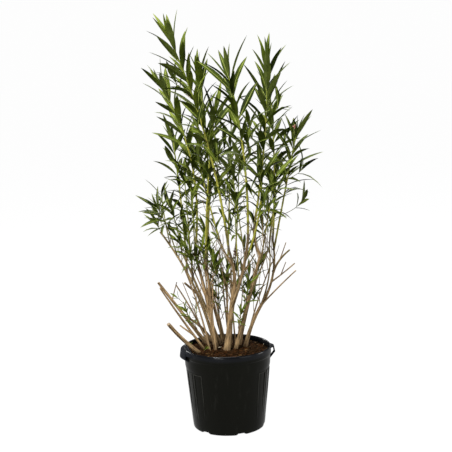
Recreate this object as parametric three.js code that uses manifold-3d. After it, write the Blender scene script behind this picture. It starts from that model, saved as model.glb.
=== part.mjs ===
// Potted oleander: a nursery pot with two grips, a clump of woody canes that fan
// out of the compost, and long leafy shoots on top. Millimetres, +Z up, origin in
// the middle of the pot's flat underside, +X through the right-hand grip.
import * as THREE from 'three';
import { mergeVertices } from 'three/addons/utils/BufferGeometryUtils.js';
import Module from 'manifold-3d';

const wasm = await Module();
wasm.setup();

// ---------- driving dimensions ----------
const gap = 0.3; // clearance between neighbouring solids
const potHeight = 276;
const baseRadius = 121;
const rimRadius = 147;
const wallTop = 141.5; // outer radius where the collar starts
const collarTop = 145; // outer radius where the rim band starts
const wallThickness = 3;
const collarFoot = 210; // height where the plain collar starts above the panels
const lipFoot = 248; // height where the rim band starts
const soilTop = 266;
const soilFlat = 112; // radius of the level middle of the compost
const gripAngles = { handle_right: 0, handle_left: 188 };
const gripWidth = { handle_right: 16, handle_left: 76 };
const earWidth = { handle_right: 76, handle_left: 138 }; // width of the grip's plate at the rim
const earThickness = { handle_right: 4, handle_left: 14 };
const gripStrap = 4;
const gripTop = { handle_right: 270, handle_left: 273.5 };
const gripBend = 157.5; // radius where the plate turns down into the strap
const gripReach = 161.5; // radius at the strap's outermost bend
const gripFoot = { handle_right: 225, handle_left: 238 }; // where the strap meets the collar again
const panelAngles = [-160, -140, -40, -20, 20, 40, 140, 160];
const panelSpan = 16;
const panelDepth = 1.5;
const panelFoot = 44;
const panelTop = 204;
const notchCount = 6;
const firstNotch = 45;
const notchSize = [16, 26, 10]; // inwards, along the rim, and twice its height
const flareReach = 22; // how fast the root flare dies out above the compost
const flareSize = 0.24;

// Radius of the pot's outer wall below the collar.
const wallAt = (z) => THREE.MathUtils.lerp(baseRadius, wallTop, z / collarFoot);

// ---------- woody limbs ----------
// A cane rises from its foot in the compost; a bough leaves another limb `on` it,
// `at` that share of its length. `bow` is how far the middle stands off the chord,
// `thick` the diameter at both ends. Stubs are short twigs fused to their cane.
const limbs = [
  { name: 'trunk', foot: [-3, -25], tip: [29, -22, 492], bow: [0, 0, 0], thick: [20, 15] },
  { name: 'cane_low_stub', foot: [-101, -33], tip: [-196, -95, 382], bow: [-2, 4, -4], thick: [13, 12] },
  { name: 'cane_thin_left', foot: [-80, 14], tip: [-218, -45, 492], bow: [-3, 0, 1], thick: [9, 5],
    stubs: [{ at: 0.22, tip: [-155, 41, 340], thick: [6, 5] }] },
  { name: 'cane_long_cut', foot: [-68, 72], tip: [-223, 76, 484], bow: [-2, 0, 3], thick: [13, 8.5],
    stubs: [{ at: 0.7, tip: [-160, 98, 478], thick: [4, 3] }] },
  { name: 'cane_dead', foot: [-48, 98], tip: [-127, 128, 345], bow: [7, 0, 6], thick: [11, 7],
    stubs: [{ at: 0.95, tip: [-138, 142, 397], thick: [4, 3] }] },
  { name: 'cane_left', foot: [-36, 16], tip: [-95, 97, 577], bow: [5, 0, 0], thick: [14, 9],
    stubs: [
      { at: 0.42, tip: [-66, 76, 573], thick: [5.5, 3.5] },
      { at: 0.5, tip: [-110, 90, 543], thick: [5, 3.5] },
    ] },
  { name: 'cane_reach_left', foot: [-40, 46], tip: [-209, 165, 643], bow: [20, -2, 12], thick: [11, 6],
    stubs: [{ at: 0.42, tip: [-134, 62, 482], thick: [8, 7] }] },
  { name: 'cane_mid_left', foot: [-22, 38], tip: [-138, 92, 581], bow: [4, 6, 0], thick: [11, 6] },
  { name: 'cane_inner', foot: [-41, -14], tip: [-62, 20, 560], bow: [1, 0, 0], thick: [9, 6.5],
    stubs: [{ at: 0.35, tip: [-36, 30, 580], thick: [4.5, 3.2] }] },
  { name: 'cane_back', foot: [-5, 86], tip: [-57, 174, 545], bow: [-6, 0, -2], thick: [12, 8] },
  { name: 'cane_whip', foot: [-12, 58], tip: [-21, 50, 380], bow: [-3, 0, 1], thick: [6, 4] },
  { name: 'cane_behind', foot: [16, 98], tip: [19, 149, 492], bow: [-5, 0, 0], thick: [8, 6],
    stubs: [{ at: 0.5, tip: [7, 108, 500], thick: [4, 3] }] },
  { name: 'cane_right', foot: [28, -15], tip: [112, -58, 587], bow: [-1, 0, 1], thick: [12, 8.5] },
  { name: 'cane_small_right', foot: [54, 86], tip: [79, 105, 403], bow: [-1, 0, 0], thick: [8, 5] },
  { name: 'cane_far_right', foot: [64, 16], tip: [134, 26, 423], bow: [-7, 1, 3], thick: [13, 10] },
  { name: 'fork_tall', on: 'trunk', at: 1, tip: [12, -37, 605], bow: [4, 0, 2], thick: [11, 8] },
  { name: 'fork_left', on: 'fork_tall', at: 0.55, tip: [-13, 11, 629], bow: [-3, 0, -2],
    thick: [7, 5.5] },
  { name: 'bough_centre', on: 'trunk', at: 0.65, tip: [71, -85, 649], bow: [8, 0, 0], thick: [12, 8.5],
    stubs: [{ at: 0.4, tip: [97, -30, 589], thick: [4.5, 3.2] }] },
  { name: 'fork_right_inner', on: 'cane_right', at: 1, tip: [92, -72, 679], bow: [-5, 0, -1],
    thick: [7.5, 7] },
  { name: 'fork_right_outer', on: 'cane_right', at: 0.9, tip: [122, -99, 645], bow: [3, 0, -1],
    thick: [6, 4.5] },
  { name: 'slim_right', on: 'cane_right', at: 0.55, tip: [152, 25, 600], bow: [1, 0, -1],
    thick: [6, 4.5] },
  { name: 'bough_far_right', on: 'cane_far_right', at: 1, tip: [167, 48, 618], bow: [16, 0, -3],
    thick: [8.5, 6.5] },
  { name: 'stub_right_low', on: 'cane_far_right', at: 0.84, tip: [235, -16, 525], bow: [-1, 0, 2],
    thick: [5.5, 4] },
  { name: 'stub_right_mid', on: 'bough_far_right', at: 0.3, tip: [244, 75, 531], bow: [1, 0, -1],
    thick: [5, 4],
    stubs: [{ at: 0.4, tip: [208, 32, 545], thick: [3.2, 2.8] }] },
  { name: 'stub_right_high', on: 'bough_far_right', at: 0.48, tip: [214, -25, 597], bow: [-5, 0, 4],
    thick: [8, 5],
    stubs: [{ at: 0.5, tip: [206, 4, 617], thick: [3.6, 3] }] },
  { name: 'slim_far_right', on: 'cane_far_right', at: 0.8, tip: [146, -30, 618], bow: [14, -2, -2],
    thick: [6, 4] },
  { name: 'twig_centre', on: 'bough_centre', at: 0.5, tip: [88, -126, 605], bow: [0, 0, 0],
    thick: [3.6, 2.8] },
];

// ---------- foliage ----------
// A mass grows from one stem `on` its limb. Whorls of three narrow leaves stand on
// it above the `bare` share of its length; `leaf` is the leaf length at the lowest
// and the highest whorl and `open` the angle between leaf and stem there.
// `twigs` side twigs carry whorls of their own, and `crest` is the leaf length of
// the tight whorl on the tip of a shoot.
const masses = [
  { name: 'shoot_tall', on: 'fork_tall', tip: [-155, -98, 1282], bow: [22, -1, 17], thick: [8, 4],
    bare: 0.42, whorls: 12, leaf: [118, 128], open: [52, 22], crest: 95, seed: 11 },
  { name: 'shoot_centre', on: 'bough_centre', tip: [21, -150, 1160], bow: [16, -1, 6], thick: [8, 4],
    bare: 0.38, whorls: 8, leaf: [118, 140], open: [64, 34], crest: 138, crestOpen: 22, seed: 12 },
  { name: 'shoot_right', on: 'fork_right_inner', tip: [147, -70, 1186], bow: [10, -1, 2], thick: [7.5, 4],
    bare: 0.3, whorls: 11, leaf: [122, 134], open: [60, 28], crest: 112, seed: 13 },
  { name: 'shoot_far_left', on: 'cane_left', tip: [-180, 55, 1130], bow: [44, -3, 15], thick: [7.5, 4],
    bare: 0.34, whorls: 9, leaf: [108, 124], open: [60, 24], crest: 85, seed: 14 },
  { name: 'shoot_back', on: 'cane_back', tip: [-60, 150, 1165], bow: [22, 10, 0], thick: [7, 4],
    bare: 0.36, whorls: 9, leaf: [110, 128], open: [60, 25], crest: 85, seed: 15 },
  { name: 'shoot_right_back', on: 'bough_far_right', tip: [179, 138, 1105], bow: [10, 0, 0],
    thick: [7, 4], bare: 0.28, whorls: 9, leaf: [108, 124], open: [66, 26], crest: 80, seed: 16 },
  { name: 'shoot_far_right', on: 'bough_far_right', at: 0.85, tip: [244, 3, 965], bow: [0, 0, 3],
    thick: [6.5, 4], bare: 0.42, whorls: 7, leaf: [96, 120], open: [70, 34], crest: 75, seed: 17 },
  { name: 'shoot_outer_left', on: 'cane_reach_left', at: 0.6, tip: [-153, 201, 950], bow: [5, 0, 0],
    thick: [7, 4], bare: 0.4, whorls: 7, leaf: [90, 110], open: [66, 24], crest: 70, seed: 18 },
  { name: 'shoot_left_inner', on: 'fork_left', tip: [-75, 75, 905], bow: [-3, 0, -1], thick: [6, 3.6],
    bare: 0.36, whorls: 7, leaf: [88, 110], open: [66, 32], twigs: 1, crest: 65, seed: 19 },
  { name: 'shoot_mid_right', on: 'bough_centre', at: 0.66, tip: [112, -145, 880], bow: [20, 8, 0],
    thick: [7, 4], bare: 0.45, whorls: 5, leaf: [98, 112], open: [60, 28], crest: 75, seed: 20 },
  { name: 'shoot_low_left', on: 'cane_reach_left', at: 0.76, tip: [-216, 75, 742], bow: [4, 0, 4],
    thick: [4.4, 3], bare: 0.5, whorls: 6, leaf: [70, 92], open: [84, 44], crest: 55, seed: 21 },
  { name: 'spray_outer_left', on: 'cane_reach_left', at: 0.86, tip: [-200, 190, 770], bow: [-3, 0, 0],
    thick: [4.4, 3], bare: 0.55, whorls: 3, leaf: [62, 84], open: [70, 34], droop: 0.8, seed: 22 },
  { name: 'spray_front_left', on: 'cane_mid_left', tip: [-172, 60, 738], bow: [4, 0, 2], thick: [4.4, 3],
    bare: 0.5, whorls: 4, leaf: [60, 84], open: [70, 34], droop: 0.8, seed: 23 },
  { name: 'spray_left_tall', on: 'cane_left', at: 0.93, tip: [-98, 25, 800], bow: [-4, 0, 1],
    thick: [4.4, 3], bare: 0.4, whorls: 5, leaf: [55, 79], open: [70, 36], droop: 0.8, seed: 24 },
  { name: 'spray_left_front', on: 'cane_mid_left', at: 0.72, tip: [-120, 18, 680], bow: [-2, 0, 2],
    thick: [4.4, 3], bare: 0.12, whorls: 5, leaf: [56, 78], open: [72, 36], droop: 0.8, seed: 25 },
  { name: 'spray_left_mid', on: 'cane_reach_left', at: 0.5, tip: [-122, 100, 860], bow: [0, 0, 2],
    thick: [4.4, 3], bare: 0.45, whorls: 5, leaf: [62, 96], open: [72, 36], droop: 0.8, seed: 26 },
  { name: 'spray_back_outer', on: 'cane_back', at: 0.72, tip: [-95, 245, 820], bow: [-16, 12, 0],
    thick: [4.4, 3], bare: 0.3, whorls: 4, leaf: [58, 83], open: [68, 34], droop: 0.8, seed: 27 },
  { name: 'spray_back_inner', on: 'cane_back', at: 0.84, tip: [-30, 108, 880], bow: [0, 0, 0],
    thick: [4.4, 3], bare: 0.4, whorls: 5, leaf: [62, 96], open: [70, 36], droop: 0.8, seed: 28 },
  { name: 'spray_centre_front', on: 'bough_centre', at: 0.34, tip: [30, -115, 787], bow: [-3, 0, 2],
    thick: [4.4, 3], bare: 0.5, whorls: 5, leaf: [55, 84], open: [68, 34], droop: 0.8, seed: 29 },
  { name: 'spray_centre_back', on: 'fork_tall', at: 0.25, tip: [62, 78, 900], bow: [4, 4, 0],
    thick: [4.4, 3], bare: 0.4, whorls: 5, leaf: [62, 96], open: [68, 34], twigs: 1, droop: 0.8,
    seed: 30 },
  { name: 'spray_centre', on: 'bough_centre', at: 0.7, tip: [30, -15, 870], bow: [0, 0, 0], thick: [4, 3],
    bare: 0.45, whorls: 5, leaf: [62, 96], open: [68, 34], droop: 0.8, seed: 31 },
  { name: 'spray_whip', on: 'cane_whip', tip: [-22, 36, 560], bow: [0, 0, 0], thick: [4, 2.8], bare: 0.05,
    whorls: 6, leaf: [38, 59], open: [74, 38], droop: 0.8, seed: 32 },
  { name: 'spray_small_right', on: 'cane_small_right', tip: [90, 112, 480], bow: [0, 0, 0],
    thick: [4.4, 3], bare: 0.1, whorls: 4, leaf: [52, 72], open: [66, 28], droop: 0.8, seed: 33 },
  { name: 'spray_slim_right', on: 'slim_right', tip: [192, 85, 860], bow: [2, 0, 0], thick: [4.6, 3],
    bare: 0.3, whorls: 5, leaf: [65, 96], open: [68, 34], droop: 0.8, seed: 34 },
  { name: 'spray_slim_far_right', on: 'slim_far_right', tip: [170, -66, 800], bow: [-3, 0, 0],
    thick: [4.4, 3], bare: 0.3, whorls: 4, leaf: [58, 84], open: [68, 34], droop: 0.8, seed: 35 },
  { name: 'spray_fork_outer', on: 'fork_right_outer', tip: [150, -165, 850], bow: [0, 0, 0],
    thick: [4.4, 3], bare: 0.3, whorls: 4, leaf: [62, 90], open: [68, 34], droop: 0.8, seed: 36 },
  { name: 'shoot_behind', on: 'cane_behind', tip: [50, 200, 1010], bow: [0, 6, 0], thick: [6, 3.4],
    bare: 0.33, whorls: 8, leaf: [75, 102], open: [74, 34], twigs: 1, crest: 65, seed: 37 },
  { name: 'shoot_inner', on: 'cane_inner', tip: [-22, -34, 1050], bow: [-8, 0, 0], thick: [6, 3.4],
    bare: 0.38, whorls: 8, leaf: [92, 116], open: [66, 30], crest: 70, seed: 39 },
  { name: 'spray_dead_cane', on: 'cane_dead', at: 0.72, tip: [-92, 128, 400], bow: [0, 0, 0],
    thick: [3.6, 2.8], bare: 0.1, whorls: 5, leaf: [26, 38], open: [84, 50], seed: 41 },
];
const leafShape = { width: 0.15, keel: 0.03, widest: 0.4, arch: 0.03, droop: 0.4, stagger: 5 };
const crestOpen = 11; // angle between stem and leaf in the tight whorl on a tip, degrees

// ---------- curves ----------
const up = new THREE.Vector3(0, 0, 1);
const limbByName = {};

class BowedCurve extends THREE.Curve {
  constructor(start, end, bow) {
    super();
    this.start = start;
    this.end = end;
    this.bow = bow;
  }
  getPoint(t) {
    return this.start.clone().lerp(this.end, t).addScaledVector(this.bow, 4 * t * (1 - t));
  }
  getTangent(t) {
    return this.end.clone().sub(this.start).addScaledVector(this.bow, 4 - 8 * t).normalize();
  }
}

function sideways(direction) {
  const reference = new THREE.Vector3(0, 1, 0);
  return new THREE.Vector3().crossVectors(direction, reference).normalize();
}

// Where a limb starts: in the compost, or inside the limb that carries it.
function limbCurve(limb) {
  const end = new THREE.Vector3(...limb.tip);
  const bow = new THREE.Vector3(...limb.bow);
  if (limb.foot) {
    return new BowedCurve(new THREE.Vector3(...limb.foot, soilTop + gap), end, bow);
  }
  const carrier = limbByName[limb.on].curve;
  return new BowedCurve(carrier.getPoint(limb.at ?? 1), end, bow);
}

// ---------- solids ----------
function toSolid(geometry) {
  const bare = geometry.clone();
  bare.deleteAttribute('normal');
  bare.deleteAttribute('uv');
  const welded = mergeVertices(bare, 1e-4);
  const vertProperties = new Float32Array(welded.attributes.position.array);
  const triVerts = new Uint32Array(welded.index.array);
  return new wasm.Manifold(new wasm.Mesh({ numProp: 3, vertProperties, triVerts }));
}

function toGeometry(solid) {
  const mesh = solid.getMesh();
  const geometry = new THREE.BufferGeometry();
  geometry.setAttribute('position', new THREE.BufferAttribute(mesh.vertProperties, 3));
  geometry.setIndex(new THREE.BufferAttribute(mesh.triVerts, 1));
  geometry.computeVertexNormals();
  return geometry;
}

// A tapering rod bent along a curve: a cylinder whose rings are moved onto it.
function bentRod(curve, diameters, sides, steps, extra = 0, flare = 0) {
  const rod = new THREE.CylinderGeometry(1, 1, 1, sides, steps);
  const place = rod.attributes.position;
  for (let i = 0; i < place.count; i += 1) {
    const t = place.getY(i) + 0.5;
    const direction = curve.getTangent(t);
    const side = sideways(direction);
    const other = new THREE.Vector3().crossVectors(side, direction);
    const centre = curve.getPoint(t);
    const rise = centre.distanceTo(curve.start);
    const widen = 1 + flare * Math.exp(-rise / flareReach);
    const radius = THREE.MathUtils.lerp(diameters[0], diameters[1], t) / 2 * widen + extra;
    centre.addScaledVector(direction, extra * (2 * t - 1));
    centre.addScaledVector(side, radius * place.getX(i));
    centre.addScaledVector(other, radius * place.getZ(i));
    if (flare > 0 && t === 0) {
      centre.addScaledVector(direction, (curve.start.z - centre.z) / direction.z);
    }
    place.setXYZ(i, centre.x, centre.y, centre.z);
  }
  return toSolid(rod);
}

function largestPiece(solid) {
  const pieces = solid.decompose();
  pieces.sort((a, b) => b.volume() - a.volume());
  return pieces[0];
}

// The limb's own rod, or the same rod grown by `extra` to cut its neighbours with.
function limbRod(limb, extra) {
  const sides = limb.thick[0] >= 10 ? 8 : 6;
  const steps = Math.max(3, Math.round(limb.curve.getLength() / 70));
  return bentRod(limb.curve, limb.thick, sides, steps, extra, limb.foot ? flareSize : 0);
}

function limbSolid(limb) {
  let solid = limbRod(limb, 0);
  for (const stub of limb.stubs ?? []) {
    const start = limb.curve.getPoint(stub.at);
    const curve = new BowedCurve(start, new THREE.Vector3(...stub.tip), new THREE.Vector3());
    solid = solid.add(bentRod(curve, stub.thick, 5, 1));
  }
  if (!limb.foot) {
    solid = largestPiece(solid.subtract(limbByName[limb.on].clearance));
  }
  return solid;
}

for (const limb of limbs) {
  limb.curve = limbCurve(limb);
  limbByName[limb.name] = limb;
  limb.clearance = limbRod(limb, gap);
  limb.solid = limbSolid(limb);
}

// ---------- leaves ----------
function seeded(seed) {
  let state = seed * 7919;
  return () => {
    state = (state * 16807) % 2147483647;
    return state / 2147483647;
  };
}

// Five corners: the root in the middle of the stem, the tip, left, right and the
// keel under the midrib.
function leafCorners(leaf) {
  const across = new THREE.Vector3().crossVectors(leaf.direction, leaf.axis).normalize();
  const face = new THREE.Vector3().crossVectors(across, leaf.direction).normalize();
  const middle = leaf.base.clone().addScaledVector(leaf.direction, leaf.length * leafShape.widest);
  middle.addScaledVector(face, leaf.length * leafShape.arch);
  const tip = leaf.base.clone().addScaledVector(leaf.direction, leaf.length);
  tip.addScaledVector(up, -leaf.droop * leaf.length);
  const half = leaf.length * leafShape.width / 2;
  return [
    leaf.base,
    tip,
    middle.clone().addScaledVector(across, -half),
    middle.clone().addScaledVector(across, half),
    middle.clone().addScaledVector(face, -leaf.length * leafShape.keel),
  ];
}

const leafFaces = [0, 3, 2, 1, 2, 3, 0, 2, 4, 0, 4, 3, 1, 4, 2, 1, 3, 4];

function leafSolid(corners) {
  const geometry = new THREE.BufferGeometry();
  geometry.setAttribute('position', new THREE.Float32BufferAttribute(corners.flatMap((c) => c.toArray()), 3));
  geometry.setIndex(leafFaces);
  return toSolid(geometry);
}

// Leaves of one stem: whorls of three, each turned by half a step from the last.
function stemLeaves(stem, random) {
  const leaves = [];
  const total = stem.whorls + (stem.crest ? 1 : 0);
  for (let i = 0; i < total; i += 1) {
    const crowning = i === stem.whorls;
    const share = Math.min(1, (i + 0.5) / stem.whorls);
    const t = Math.min(crowning ? 1 : 0.985, stem.bare + (1 - stem.bare) * (i + 1) / stem.whorls);
    const axis = stem.curve.getTangent(t);
    const side = sideways(axis);
    const other = new THREE.Vector3().crossVectors(side, axis);
    for (let k = 0; k < 3; k += 1) {
      const turn = THREE.MathUtils.degToRad(i * 60 + k * 120 + 24 * (random() - 0.5)) + stem.twist;
      const open = THREE.MathUtils.lerp(stem.open[0], stem.open[1], share);
      const spread = (crowning ? stem.crestOpen ?? crestOpen : open) + 14 * (random() - 0.5);
      const full = crowning ? stem.crest : THREE.MathUtils.lerp(stem.leaf[0], stem.leaf[1], share);
      const length = full * (0.82 + 0.36 * random());
      const droop = (stem.droop ?? leafShape.droop) * (1 - share) * random();
      const outward = side.clone().multiplyScalar(Math.cos(turn)).addScaledVector(other, Math.sin(turn));
      const angle = THREE.MathUtils.degToRad(spread);
      const direction = axis.clone().multiplyScalar(Math.cos(angle));
      direction.addScaledVector(outward, Math.sin(angle));
      const base = stem.curve.getPoint(t).addScaledVector(axis, leafShape.stagger * (k - 2));
      leaves.push({ base, direction, axis, length, droop });
    }
  }
  return leaves;
}

// The stem of a mass and its side twigs.
function massStems(mass, random) {
  const main = { ...mass, twist: 2 * Math.PI * random() };
  const stems = [main];
  for (let j = 0; j < (mass.twigs ?? 0); j += 1) {
    const t = mass.bare + (1 - mass.bare) * (0.1 + 0.3 * random());
    const axis = main.curve.getTangent(t);
    const side = sideways(axis);
    const other = new THREE.Vector3().crossVectors(side, axis);
    const turn = 2 * Math.PI * random();
    const outward = side.clone().multiplyScalar(Math.cos(turn)).addScaledVector(other, Math.sin(turn));
    const reach = mass.leaf[1] * (1 + 0.4 * random());
    const start = main.curve.getPoint(t);
    const end = start.clone().addScaledVector(axis, 0.75 * reach).addScaledVector(outward, 0.65 * reach);
    stems.push({
      ...mass,
      curve: new BowedCurve(start, end, new THREE.Vector3(0, 0, -0.06 * reach)),
      thick: [mass.thick[1] * 1.1, mass.thick[1] * 0.8],
      leaf: mass.leaf.map((length) => length * 0.75),
      bare: 0.45,
      whorls: 3,
      crest: 0,
      twist: 2 * Math.PI * random(),
    });
  }
  return stems;
}

// ---------- keeping clear of each other ----------
// Convex blocks are tested by separating axes, with a box test first.
function block(points) {
  const bounds = new THREE.Box3().setFromPoints(points).expandByScalar(gap);
  return { points, bounds };
}

function edgeDirections(points) {
  const edges = [];
  for (let i = 0; i < points.length; i += 1) {
    for (let j = i + 1; j < points.length; j += 1) {
      edges.push(points[j].clone().sub(points[i]));
    }
  }
  return edges;
}

function separated(a, b, axis) {
  const length = axis.length();
  if (length < 1e-6) {
    return false;
  }
  const spanA = a.points.map((point) => point.dot(axis) / length);
  const spanB = b.points.map((point) => point.dot(axis) / length);
  return Math.min(...spanA) > Math.max(...spanB) + gap || Math.min(...spanB) > Math.max(...spanA) + gap;
}

function touching(a, b) {
  if (!a.bounds.intersectsBox(b.bounds)) {
    return false;
  }
  const edgesA = edgeDirections(a.points);
  const edgesB = edgeDirections(b.points);
  const trial = new THREE.Vector3();
  for (const edgeA of edgesA) {
    for (const edgeB of edgesB) {
      if (separated(a, b, trial.crossVectors(edgeA, edgeB))) {
        return false;
      }
    }
  }
  for (const edges of [edgesA, edgesB]) {
    for (const first of edges) {
      for (const second of edges) {
        if (separated(a, b, trial.crossVectors(first, second))) {
          return false;
        }
      }
    }
  }
  return true;
}

// A rod as short square blocks, a little fatter than the rod itself.
function rodBlocks(curve, diameters, steps) {
  const blocks = [];
  for (let i = 0; i < steps; i += 1) {
    const corners = [];
    for (const t of [i / steps, (i + 1) / steps]) {
      const direction = curve.getTangent(t);
      const side = sideways(direction);
      const other = new THREE.Vector3().crossVectors(side, direction);
      const half = THREE.MathUtils.lerp(diameters[0], diameters[1], t) / 2 + gap;
      for (const [a, b] of [[-1, -1], [-1, 1], [1, -1], [1, 1]]) {
        corners.push(curve.getPoint(t).addScaledVector(side, a * half).addScaledVector(other, b * half));
      }
    }
    blocks.push(block(corners));
  }
  return blocks;
}

const taken = [];
for (const limb of limbs) {
  taken.push(...rodBlocks(limb.curve, limb.thick, 5).map((piece) => ({ owner: limb.name, piece })));
}
for (const mass of masses) {
  const carrier = limbByName[mass.on];
  const start = carrier.curve.getPoint(mass.at ?? 1);
  mass.curve = new BowedCurve(start, new THREE.Vector3(...mass.tip), new THREE.Vector3(...mass.bow));
  mass.random = seeded(mass.seed);
  mass.stems = massStems(mass, mass.random);
  for (const stem of mass.stems) {
    taken.push(...rodBlocks(stem.curve, stem.thick, 8).map((piece) => ({ owner: mass.name, piece })));
  }
}

function massSolid(mass) {
  let solid = null;
  for (const stem of mass.stems) {
    const steps = Math.max(2, Math.round(stem.curve.getLength() / 90));
    const rod = bentRod(stem.curve, stem.thick, 3, steps);
    solid = solid ? solid.add(rod) : rod;
  }
  const own = [];
  for (const leaf of mass.stems.flatMap((stem) => stemLeaves(stem, mass.random))) {
    const corners = leafCorners(leaf);
    const piece = block(corners);
    const blocked = taken.some((other) => other.owner !== mass.name && touching(piece, other.piece));
    if (!blocked) {
      own.push({ owner: mass.name, piece });
      solid = solid.add(leafSolid(corners));
    }
  }
  taken.push(...own);
  return largestPiece(solid.subtract(limbByName[mass.on].clearance));
}

// ---------- pot, grips and compost ----------
function lathed(outline, segments) {
  const profile = new THREE.LatheGeometry(outline.map(([r, z]) => new THREE.Vector2(r, z)), segments);
  profile.rotateX(Math.PI / 2);
  return toSolid(profile);
}

function boxSolid(size, centre, angle) {
  const box = new THREE.BoxGeometry(...size);
  box.translate(...centre);
  box.rotateZ(THREE.MathUtils.degToRad(angle));
  return toSolid(box);
}

function potOutline(grow = 0) {
  const inner = (z) => wallAt(z) - wallThickness;
  return [
    [0, 0], [baseRadius - 5, 0], [baseRadius - 1.5 + grow, 1.5], [baseRadius + grow, 5],
    [wallAt(collarFoot) + grow, collarFoot - 2], [wallAt(collarFoot) + 2 + grow, collarFoot],
    [collarTop + grow, lipFoot - 1], [rimRadius - 1 + grow, lipFoot + 1], [rimRadius + grow, potHeight - 5],
    [rimRadius - 1.5 + grow, potHeight - 1], [rimRadius - 3.5, potHeight], [rimRadius - 5.5, potHeight - 2],
    [rimRadius - 6, lipFoot], [inner(collarFoot), collarFoot - 4], [inner(6), 7],
    [inner(0) - 3, wallThickness], [0, wallThickness],
  ];
}

// A shallow field in the wall, narrowing downwards with it.
function panelCutter(angle) {
  const half = THREE.MathUtils.degToRad(panelSpan / 2);
  const top = wallAt(collarFoot);
  const sector = new THREE.Shape();
  sector.absarc(0, 0, top + 6, -half, half, false);
  sector.absarc(0, 0, top - panelDepth, half, -half, true);
  const cutter = new THREE.ExtrudeGeometry(sector, {
    depth: panelTop - panelFoot, bevelEnabled: false, curveSegments: 2,
  });
  cutter.translate(0, 0, panelFoot);
  const place = cutter.attributes.position;
  for (let i = 0; i < place.count; i += 1) {
    const shrink = wallAt(place.getZ(i)) / top;
    place.setXY(i, place.getX(i) * shrink, place.getY(i) * shrink);
  }
  cutter.rotateZ(THREE.MathUtils.degToRad(angle));
  return toSolid(cutter);
}

function potSolid() {
  let pot = lathed(potOutline(), 40);
  for (const angle of panelAngles) {
    pot = pot.subtract(panelCutter(angle));
  }
  for (let i = 0; i < notchCount; i += 1) {
    pot = pot.subtract(boxSolid(notchSize, [baseRadius + 2, 0, 0], firstNotch + i * 360 / notchCount));
  }
  return pot;
}

// The grip: a plate that narrows outwards from the rim, and a strap that comes down
// from its end and back to the collar.
function gripSolid(name) {
  const root = collarTop - wallThickness;
  const width = gripWidth[name];
  const top = gripTop[name];
  const footHeight = gripFoot[name];
  const outer = [[root, top], [gripBend, top], [gripReach, lipFoot], [root, footHeight]];
  const inner = [
    [root, top - gripStrap],
    [gripBend - gripStrap, top - gripStrap],
    [gripReach - 1.1 * gripStrap, lipFoot + 0.4 * gripStrap],
    [root, footHeight + 1.5 * gripStrap],
  ];
  const side = new THREE.Shape([...outer, ...inner.reverse()].map(([r, z]) => new THREE.Vector2(r, z)));
  const strap = new THREE.ExtrudeGeometry(side, { depth: width, bevelEnabled: false });
  strap.rotateX(Math.PI / 2);
  strap.translate(0, width / 2, 0);
  const ear = earWidth[name] / 2;
  const back = Math.sqrt(rimRadius ** 2 - ear ** 2) - wallThickness;
  const plan = [[back, -ear], [gripBend, -width / 2], [gripBend, width / 2], [back, ear]];
  const outline = new THREE.Shape(plan.map(([x, y]) => new THREE.Vector2(x, y)));
  const plate = new THREE.ExtrudeGeometry(outline, { depth: earThickness[name], bevelEnabled: false });
  plate.translate(0, 0, top - earThickness[name]);
  return toSolid(strap).add(toSolid(plate)).rotate([0, 0, gripAngles[name]]);
}

function gripPieces() {
  const wall = potOutline(gap).slice(1, -2);
  const above = potHeight + 9;
  const shell = lathed([[0, -1], ...wall, [rimRadius - 6, above], [0, above]], 40);
  return Object.keys(gripAngles).map((name) => {
    const pieces = gripSolid(name).subtract(shell).decompose();
    return { name, solid: pieces.sort((a, b) => b.volume() - a.volume())[0] };
  });
}

function soilSolid() {
  const inner = (z) => wallAt(z) - wallThickness - gap;
  return lathed([
    [0, wallThickness + gap], [inner(0) - 4, wallThickness + gap], [inner(8) - 0.6, 9], [inner(200) - 1, 200],
    [rimRadius - 7.5, 246], [rimRadius - 7.5, soilTop - 8], [soilFlat, soilTop], [0, soilTop],
  ], 32);
}

// ---------- the assembly ----------
const looks = {
  plastic: { color: 0x191919, roughness: 0.45, metalness: 0 },
  soil: { color: 0x45311f, roughness: 0.95, metalness: 0 },
  bark: { color: 0x7c664b, roughness: 0.85, metalness: 0 },
  foliage: { color: 0x4a6a2a, roughness: 0.6, metalness: 0 },
};
const oleander = new THREE.Group();

function addPiece(name, solid, look) {
  const material = new THREE.MeshStandardMaterial(looks[look]);
  material.name = look;
  const mesh = new THREE.Mesh(toGeometry(solid), material);
  mesh.name = name;
  oleander.add(mesh);
}

addPiece('pot', potSolid(), 'plastic');
for (const grip of gripPieces()) {
  addPiece(grip.name, grip.solid, 'plastic');
}
addPiece('soil', soilSolid(), 'soil');
for (const limb of limbs) {
  addPiece(limb.name, limb.solid, 'bark');
}
for (const mass of masses) {
  addPiece(mass.name, massSolid(mass), 'foliage');
}

export default oleander;
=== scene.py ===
import math
import random

import bmesh
import bpy
import numpy as np
from mathutils import Matrix, Vector, noise


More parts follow.
